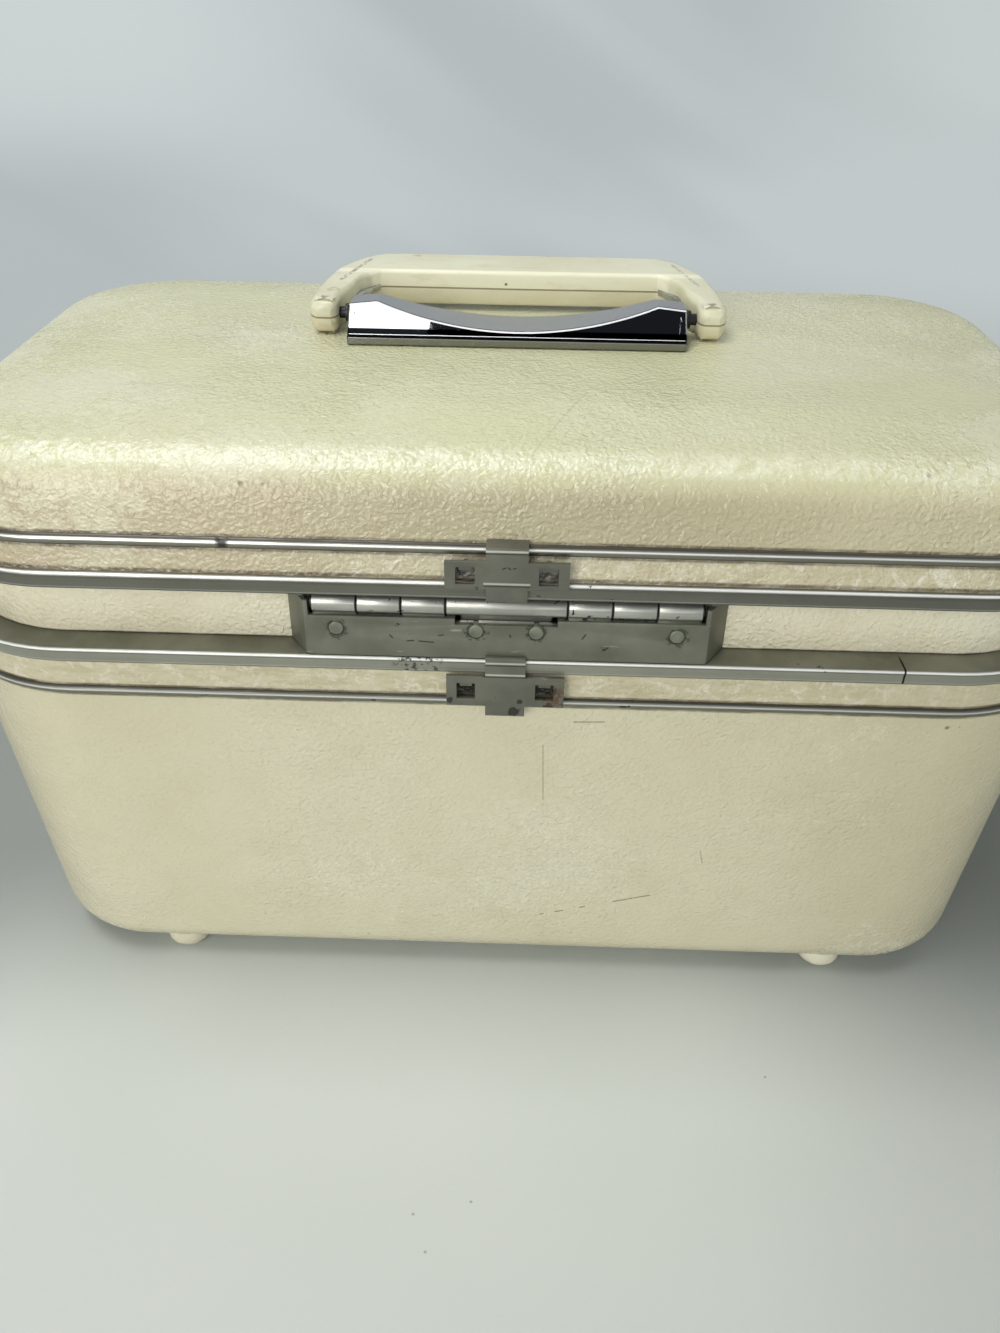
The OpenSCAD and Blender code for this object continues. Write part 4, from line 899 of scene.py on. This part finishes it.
# Handle bracket. A chromed casting screwed to the lid from inside. Its sloped sides and
# its foot are bright chrome, and its scooped top is satin. The handle turns on two dark
# pins with washers at its ends.
def chrome(name, rough, tint, smudge, dark_reflection_to=None):
    """Bright plating with a hazy smear and pits. It can have a painted dark reflection as a line along its
    foot.
    """
    plating = Finish(name)
    haze = plating.patches(0.45, 0.75, 95, 4, 0.6, 0.3)
    pit = plating.fade(plating.cells(300), 0.1, 0.05) * plating.patches(0.56, 0.62, 60)
    plating.ground(pit * 0.8, tint, (70, 66, 58))
    # A painted dark reflection on its faces below a given height, just above the foot.
    if dark_reflection_to:
        line = plating.fade(plating.parts(plating.at)[2], dark_reflection_to + 0.0003, dark_reflection_to - 0.0002)
        plating.lay(line, 5, 6, 8)
    return plating.wear(
        Metallic=1 - pit * 0.5, Roughness=rough + haze * smudge + pit * 0.3,
        Normal=plating.bump(plating.noise(60, 2) - pit * 0.4, 0.00012, 0.25))


bracket_foot_top = 0.2087
bracket_far_y = -0.0138
bracket_far_share = 0.15
bracket_rise_share = 0.88
satin_tilt, shade_tilt, highlight_tilt = 6, 20, 42
bracket = eased("handle_bracket", "casting", 0.0007, 5, 24, 30, False)
fit(bracket, "lid", "handle_bracket", "bracket",
    chrome("bracket_chrome", 0.02, (196, 198, 203), 0.04, 0.2103),
    chrome("bracket_satin", 0.3, (158, 161, 165), 0.06),
    chrome("bracket_foot_chrome", 0.16, (128, 129, 122), 0.14),
    plain_steel("bracket_edge_painted_highlight", (240, 241, 243), 0.35, 0.25, 0.96),
    plain_steel("bracket_edge_shade", (50, 51, 56), 0.3))
bright, satin, foot_chrome, edge_painted_highlight, edge_shade = range(5)
# Faces along the scoop's back edge that tilt 6 to 20 degrees towards the back get painted shade, and 20 to
# 42 degrees a painted highlight.
for face in bracket.data.polygons:
    tilt = degrees(atan2(face.normal.y, face.normal.z))
    if face.center.z < bracket_foot_top:
        face.material_index = foot_chrome if abs(face.normal.z) < 0.5 else bright
    elif abs(tilt) < satin_tilt:
        face.material_index = satin
    elif 0 < tilt < highlight_tilt:
        face.material_index = edge_shade if tilt < shade_tilt else edge_painted_highlight


def squeeze(piece, chosen, scale, centre):
    """Scales some of a piece's points about a centre."""
    choose(piece)
    for vertex in piece.data.vertices:
        vertex.select = chosen(vertex.co)
    bpy.ops.object.mode_set(mode="EDIT")
    bpy.ops.mesh.select_mode(type="VERT")
    bpy.ops.transform.resize(value=scale, center_override=centre)
    leave_edit()


squeeze(bracket, lambda at: at.y < bracket_far_y, (1, bracket_far_share, 1), (0, bracket_far_y, 0))
squeeze(bracket, lambda at: at.z > bracket_foot_top, (1, 1, bracket_rise_share), (0, 0, bracket_foot_top))
even = bracket.modifiers.new("even_faces", "WEIGHTED_NORMAL")
even.mode = "FACE_AREA"
even.weight = 80
even.keep_sharp = True
bpy.ops.object.modifier_apply(modifier=even.name)

dress("handle_pins", "turned", "lid", "dark_steel", dark_steel, fine_edge)
screw_steel = plain_steel("screw_steel", (190, 190, 182), 0.3)
dress("bracket_screws", "steel", "lid", "inner_steel", screw_steel, fine_edge)
dress("backing_plate", "steel", "lid", "inner_steel", screw_steel, fine_edge)


# Handle. Two moulded cream halves that meet in a fine parting line all round, over a
# flat steel core. The grip is a wide bar, and its arms narrow to round knobs that turn
# on the bracket's pins. It is drawn flat as a strip of edges, then lifted and laid over.
handle_pins_at = (0, -0.011, 0.211456)
handle_lift = radians(-3.3)
handle_half_t = 0.006
handle_round = 0.0046
handle_knob_y = -0.002
handle_parting = 0.00035
handle_edges = [
    ((0, -27), (0, -51)), ((30, -27.2), (30, -51)), ((44, -27.4), (44, -50.9)),
    ((48.6, -27.4), (50, -50.5)), ((49.6, -27.1), (53.2, -48.8)), ((52, -24.9), (57.6, -45)),
    ((55.9, -20.4), (61.6, -39.4)), ((56.7, -16), (65.2, -33.1)), ((57.4, -11.2), (67.4, -24.8)),
    ((58.8, -6.8), (68.8, -16.8)), ((60.1, -3.4), (69.8, -9)), ((60.2, 0), (70.3, -2.6)),
    ((60.3, 2.6), (70.2, 1.2)), ((60.9, 4.6), (69.3, 4)), ((62.6, 6), (67.4, 5.9)),
]


def strip_of_edges(name, edges):
    """A flat strip made by carrying one edge along, with a turn and a stretch each time."""
    clear_choice()
    (ax, ay), (bx, by) = edges[0]
    length = hypot(bx - ax, by - ay) / 1000
    bpy.ops.mesh.primitive_plane_add(size=length, location=(length / 2, (ay + by) / 2000, 0))
    piece = bpy.context.object
    piece.name = name
    piece.data.name = name
    bpy.ops.object.transform_apply()
    bpy.ops.object.mode_set(mode="EDIT")
    bpy.ops.mesh.select_mode(type="EDGE")
    bpy.ops.mesh.select_all(action="DESELECT")
    leave_edit()
    for edge in piece.data.edges:
        edge.select = all(piece.data.vertices[i].co.x > length / 2 for i in edge.vertices)
    bpy.ops.object.mode_set(mode="EDIT")
    middle = Vector((length, (ay + by) / 2000, 0))
    heading = atan2(by - ay, bx - ax)
    for step, ((ax, ay), (bx, by)) in enumerate(edges[1:]):
        target = Vector(((ax + bx) / 2000, (ay + by) / 2000, 0))
        if step:
            bpy.ops.mesh.extrude_region_move(TRANSFORM_OT_translate={"value": target - middle})
        else:
            bpy.ops.transform.translate(value=target - middle)
        turn = atan2(by - ay, bx - ax) - heading
        reach = hypot(bx - ax, by - ay) / 1000
        if abs(turn) > 1e-6:
            bpy.ops.transform.rotate(value=-turn, orient_axis="Z", center_override=target)
        bpy.ops.transform.resize(value=(reach / length,) * 3, center_override=target)
        middle = target
        heading += turn
        length = reach
    leave_edit()
    return piece


def beside(point, line):
    """How far a point of the handle's plan is from a line of points."""
    best = 1
    for (ax, ay), (bx, by) in zip(line, line[1:]):
        run = (bx - ax) ** 2 + (by - ay) ** 2
        share = min(max(((point[0] - ax) * (bx - ax) + (point[1] - ay) * (by - ay)) / run, 0), 1)
        best = min(best, hypot(point[0] - ax - (bx - ax) * share, point[1] - ay - (by - ay) * share))
    return best


def round_edges(half, inner_width):
    """Rounds the outer edge widely and the inner edge by inner_width millimetres."""
    inner = [(x / 1000, y / 1000) for (x, y), _ in handle_edges]
    outer = [(x / 1000, y / 1000) for _, (x, y) in handle_edges]
    top_faces = [face for face in half.data.polygons if face.normal.z > 0.9]
    uses = Counter(key for face in top_faces for key in face.edge_keys)
    width = half.data.attributes.new("bevel_weight_edge", "FLOAT", "EDGE")
    for edge in half.data.edges:
        if uses[edge.key] != 1:
            continue
        a, b = (half.data.vertices[i].co for i in edge.vertices)
        middle = (abs(a.x + b.x) / 2, (a.y + b.y) / 2)
        at_inner = beside(middle, inner) < beside(middle, outer) and middle[1] < handle_knob_y
        width.data[edge.index].value = inner_width * 0.001 / handle_round if at_inner else 1
    rounding = half.modifiers.new("rounding", "BEVEL")
    rounding.width = handle_round
    rounding.segments = 7
    rounding.limit_method = "WEIGHT"
    rounding.use_clamp_overlap = False
    choose(half)
    bpy.ops.object.modifier_apply(modifier=rounding.name)


def handle_shell(name, up):
    """One half of the handle."""
    half = strip_of_edges(name, handle_edges)
    edit_all()
    bpy.ops.mesh.symmetrize(direction="POSITIVE_X")
    bpy.ops.mesh.select_all(action="SELECT")
    bpy.ops.mesh.remove_doubles(threshold=1e-5)
    bpy.ops.mesh.normals_make_consistent()
    edit_all("FACE")
    bpy.ops.mesh.extrude_region_move(TRANSFORM_OT_translate={"value": (0, 0, handle_half_t)})
    bpy.ops.mesh.select_mode(type="VERT")
    bpy.ops.mesh.select_non_manifold(extend=False)
    bpy.ops.mesh.edge_face_add()
    leave_edit()
    round_edges(half, 1 if up else 0.8)
    recalculate()
    if not up:
        half.scale = (1, 1, -1)
    half.rotation_euler = (handle_lift, 0, 0)
    half.location = handle_pins_at
    bpy.ops.object.transform_apply()
    recalculate()
    seam = half.modifiers.new("parting", "BEVEL")
    seam.width = handle_parting
    seam.segments = 2
    seam.angle_limit = radians(60)
    finish_shape(half, 40)
    return half


def handle_finish():
    """Cream plastic with a dark parting line, and dirt along the arms and on the grip. The inner face of
    the grip is painted lighter, as painted light.
    """
    plastic = Finish("handle_plastic", IOR=1.49)
    x, y, z = plastic.parts(plastic.at)
    cloud = plastic.patches(0.3, 0.7, 38, 3, 0.55)
    plastic.ground(cloud, (208, 205, 174), (218, 218, 192))
    above = (y - handle_pins_at[1]) * -sin(handle_lift)
    above = above + (z - handle_pins_at[2]) * cos(handle_lift)
    # Painted light: the inner face of the grip, above the parting line, is lightened.
    inside = plastic.fade(y, -0.0396, -0.0388) * plastic.fade(y, -0.034, -0.036)
    plastic.lay(inside * plastic.fade(above, -0.0002, 0.0004), 238, 236, 210)
    plastic.lay(plastic.fade(above, 0.0002, -0.0006) * 0.6, 204, 195, 160)
    fine = plastic.patches(0.42, 0.56, 520, 4, 0.65)
    smear = plastic.patches(0.5, 0.75, 120, 4, 0.65, stretch=(0.5, 1.6, 1.6))
    plastic.lay(smear * 0.3, 182, 172, 140)
    ridge = sum((
        scratch(plastic, x, y, (0.0619, -0.0261), (0.0542, -0.0502), 0.0011),
        scratch(plastic, x, y, (-0.0625, -0.0261), (-0.055, -0.0502), 0.001) * 0.6,
    ))
    stains = sum((
        spot(plastic, (-0.0091, -0.0609, 0.218), 0.006) * 0.55,
        spot(plastic, (0.0377, -0.0556, 0.2185), 0.003) * 0.7,
        spot(plastic, (0.0628, -0.016, 0.2185), 0.003) * 0.6,
    ))
    dirt = plastic.work("MINIMUM", (ridge + stains) * fine, 1)
    plastic.lay(dirt * 0.7, 96, 82, 52)
    parting = plastic.fade(abs(above), 0.0004, 0.0002)
    plastic.lay(parting * 0.8, 112, 92, 58)
    plastic.lay(spot(plastic, (0.0047, -0.0384, 0.2148), 0.0009), 40, 38, 30)
    return plastic.wear(
        Roughness=0.3 + smear * 0.14 + dirt * 0.2,
        Normal=plastic.bump(plastic.noise(700, 2) - dirt * 0.6 - parting, 0.00008, 0.5))


handle_plastic = handle_finish()
for side in ("upper", "lower"):
    shell = handle_shell("handle_" + side + "_shell", side == "upper")
    fit(shell, "handle", "handle_" + side + "_half", "handle", handle_plastic)
dress("handle_core", "flat", "handle", "inner_steel", screw_steel, fine_edge)


# Latches. Two pressed housings are riveted to the web of the base frame at the front.
# Each holds a chromed lever on a pin with a spring, and a small brass lock with its
# cam. The levers' hooks catch the strikes under the lid frame.
latch_chrome = chrome("latch_chrome", 0.1, (214, 215, 214), 0.14)
housing_steel = painted_steel("housing_steel", (164, 165, 156), (140, 141, 132), metal=0.8)
brass = plain_steel("lock_brass", (206, 186, 130), 0.24)
for side in ("_left", "_right"):
    for node, body, slot, finish, width in (
            ("latch_housing", "base", "latch_body", housing_steel, fine_edge),
            ("latch_lever", "latch" + side, "latch_lever", latch_chrome, soft_edge),
            ("lock_cylinder", "lock" + side, "lock", brass, 0.00025),
            ("lock_cam", "lock" + side, "lock", housing_steel, fine_edge),
            ("strike", "lid", "latch_body", housing_steel, fine_edge)):
        dress(node + side, "pressed", body, slot, finish, width)
dress("strike_rivets", "turned", "lid", "rivet", rivet_metal, 0.00015)
dress("latch_pins", "turned", "base", "dark_steel", dark_steel, 0.00015)
dress("latch_springs", "turned", "base", "dark_steel", dark_steel, 0.00015)


# Lining. Card boards covered in a quiet rose-brown weave line the base and the lid, and
# two ledges along the ends of the base carry the tray.
thread_pitch = 0.0011


def lining_finish():
    """Rose-brown weave: two sets of threads that cross, with a soft cloud and slubs."""
    cloth = Finish("lining_cloth", IOR=1.45, Sheen_Weight=0.25, Sheen_Roughness=0.5)
    dark = 164, 130, 114
    x, y, z = cloth.parts(cloth.at)
    thread = 2 * pi / thread_pitch
    weave = cloth.work("SINE", (x + y) * thread) * cloth.work("SINE", (z + (x - y) * 0.5) * thread)
    slub = cloth.noise(260, 2, stretch=(1, 1, 9))
    cloth.ground(cloth.fade(weave, -0.8, 0.8), dark, (196, 164, 146))
    cloth.lay(cloth.patches(0.3, 0.7, 30, 3) * 0.25, *dark)
    return cloth.wear(
        Roughness=0.8 + slub * 0.15, Normal=cloth.bump(weave * 0.5 + slub, 0.0002, 0.6))


lining_cloth = lining_finish()
for node, body in (("base_lining", "base"), ("lid_lining", "lid"), ("tray_ledges", "base")):
    dress(node, "board", body, "lining", lining_cloth, soft_edge)


# Tray. A lift-out tray moulded in ivory plastic, with short dividers moulded in, a long
# divider board with a hand slot, and plush mats in its wells.
tray_plastic = cream_plastic("tray_plastic", (228, 221, 196), (220, 212, 186), 0.26, 0.62)
dress("tray", "moulded", "tray", "tray", tray_plastic, wide_edge, steps=3)
dress("tray_divider", "board", "tray", "tray", tray_plastic, wide_edge, steps=3)

plush = Finish("mat_plush", IOR=1.4, Sheen_Weight=0.6, Sheen_Roughness=0.35)
plush_pile = plush.noise(1500, 2)
plush_brush = plush.patches(0.35, 0.65, 24, 3, 0.5, 0.8)
plush.ground(plush_brush, (120, 44, 56), (148, 66, 76))
plush.wear(Roughness=0.85 + plush_pile * 0.1, Normal=plush.bump(plush_pile + plush_brush, 0.0004, 0.8))
dress("tray_mats", "plush", "tray", "mat", plush.material, soft_edge)


# Mirror. Silvered glass with a faint haze, in a moulded gilt frame that is screwed
# through the lid's lining.
mirror = Finish("mirror_silver")
mirror_haze = mirror.patches(0.5, 0.8, 30, 3)
mirror.ground(mirror_haze, (238, 241, 242), (226, 230, 230))
mirror.wear(Metallic=1 - mirror_haze * 0.02, Roughness=0.015 + mirror_haze * 0.03)
gilt = plain_steel("mirror_gilt", (206, 184, 132), 0.3)
dress("mirror_glass", "plate", "lid", "mirror", mirror.material, 0.0008)
dress("mirror_frame", "gilt", "lid", "mirror_frame", gilt, wide_edge, steps=3)
dress("mirror_screws", "turned", "lid", "inner_steel", screw_steel, fine_edge)
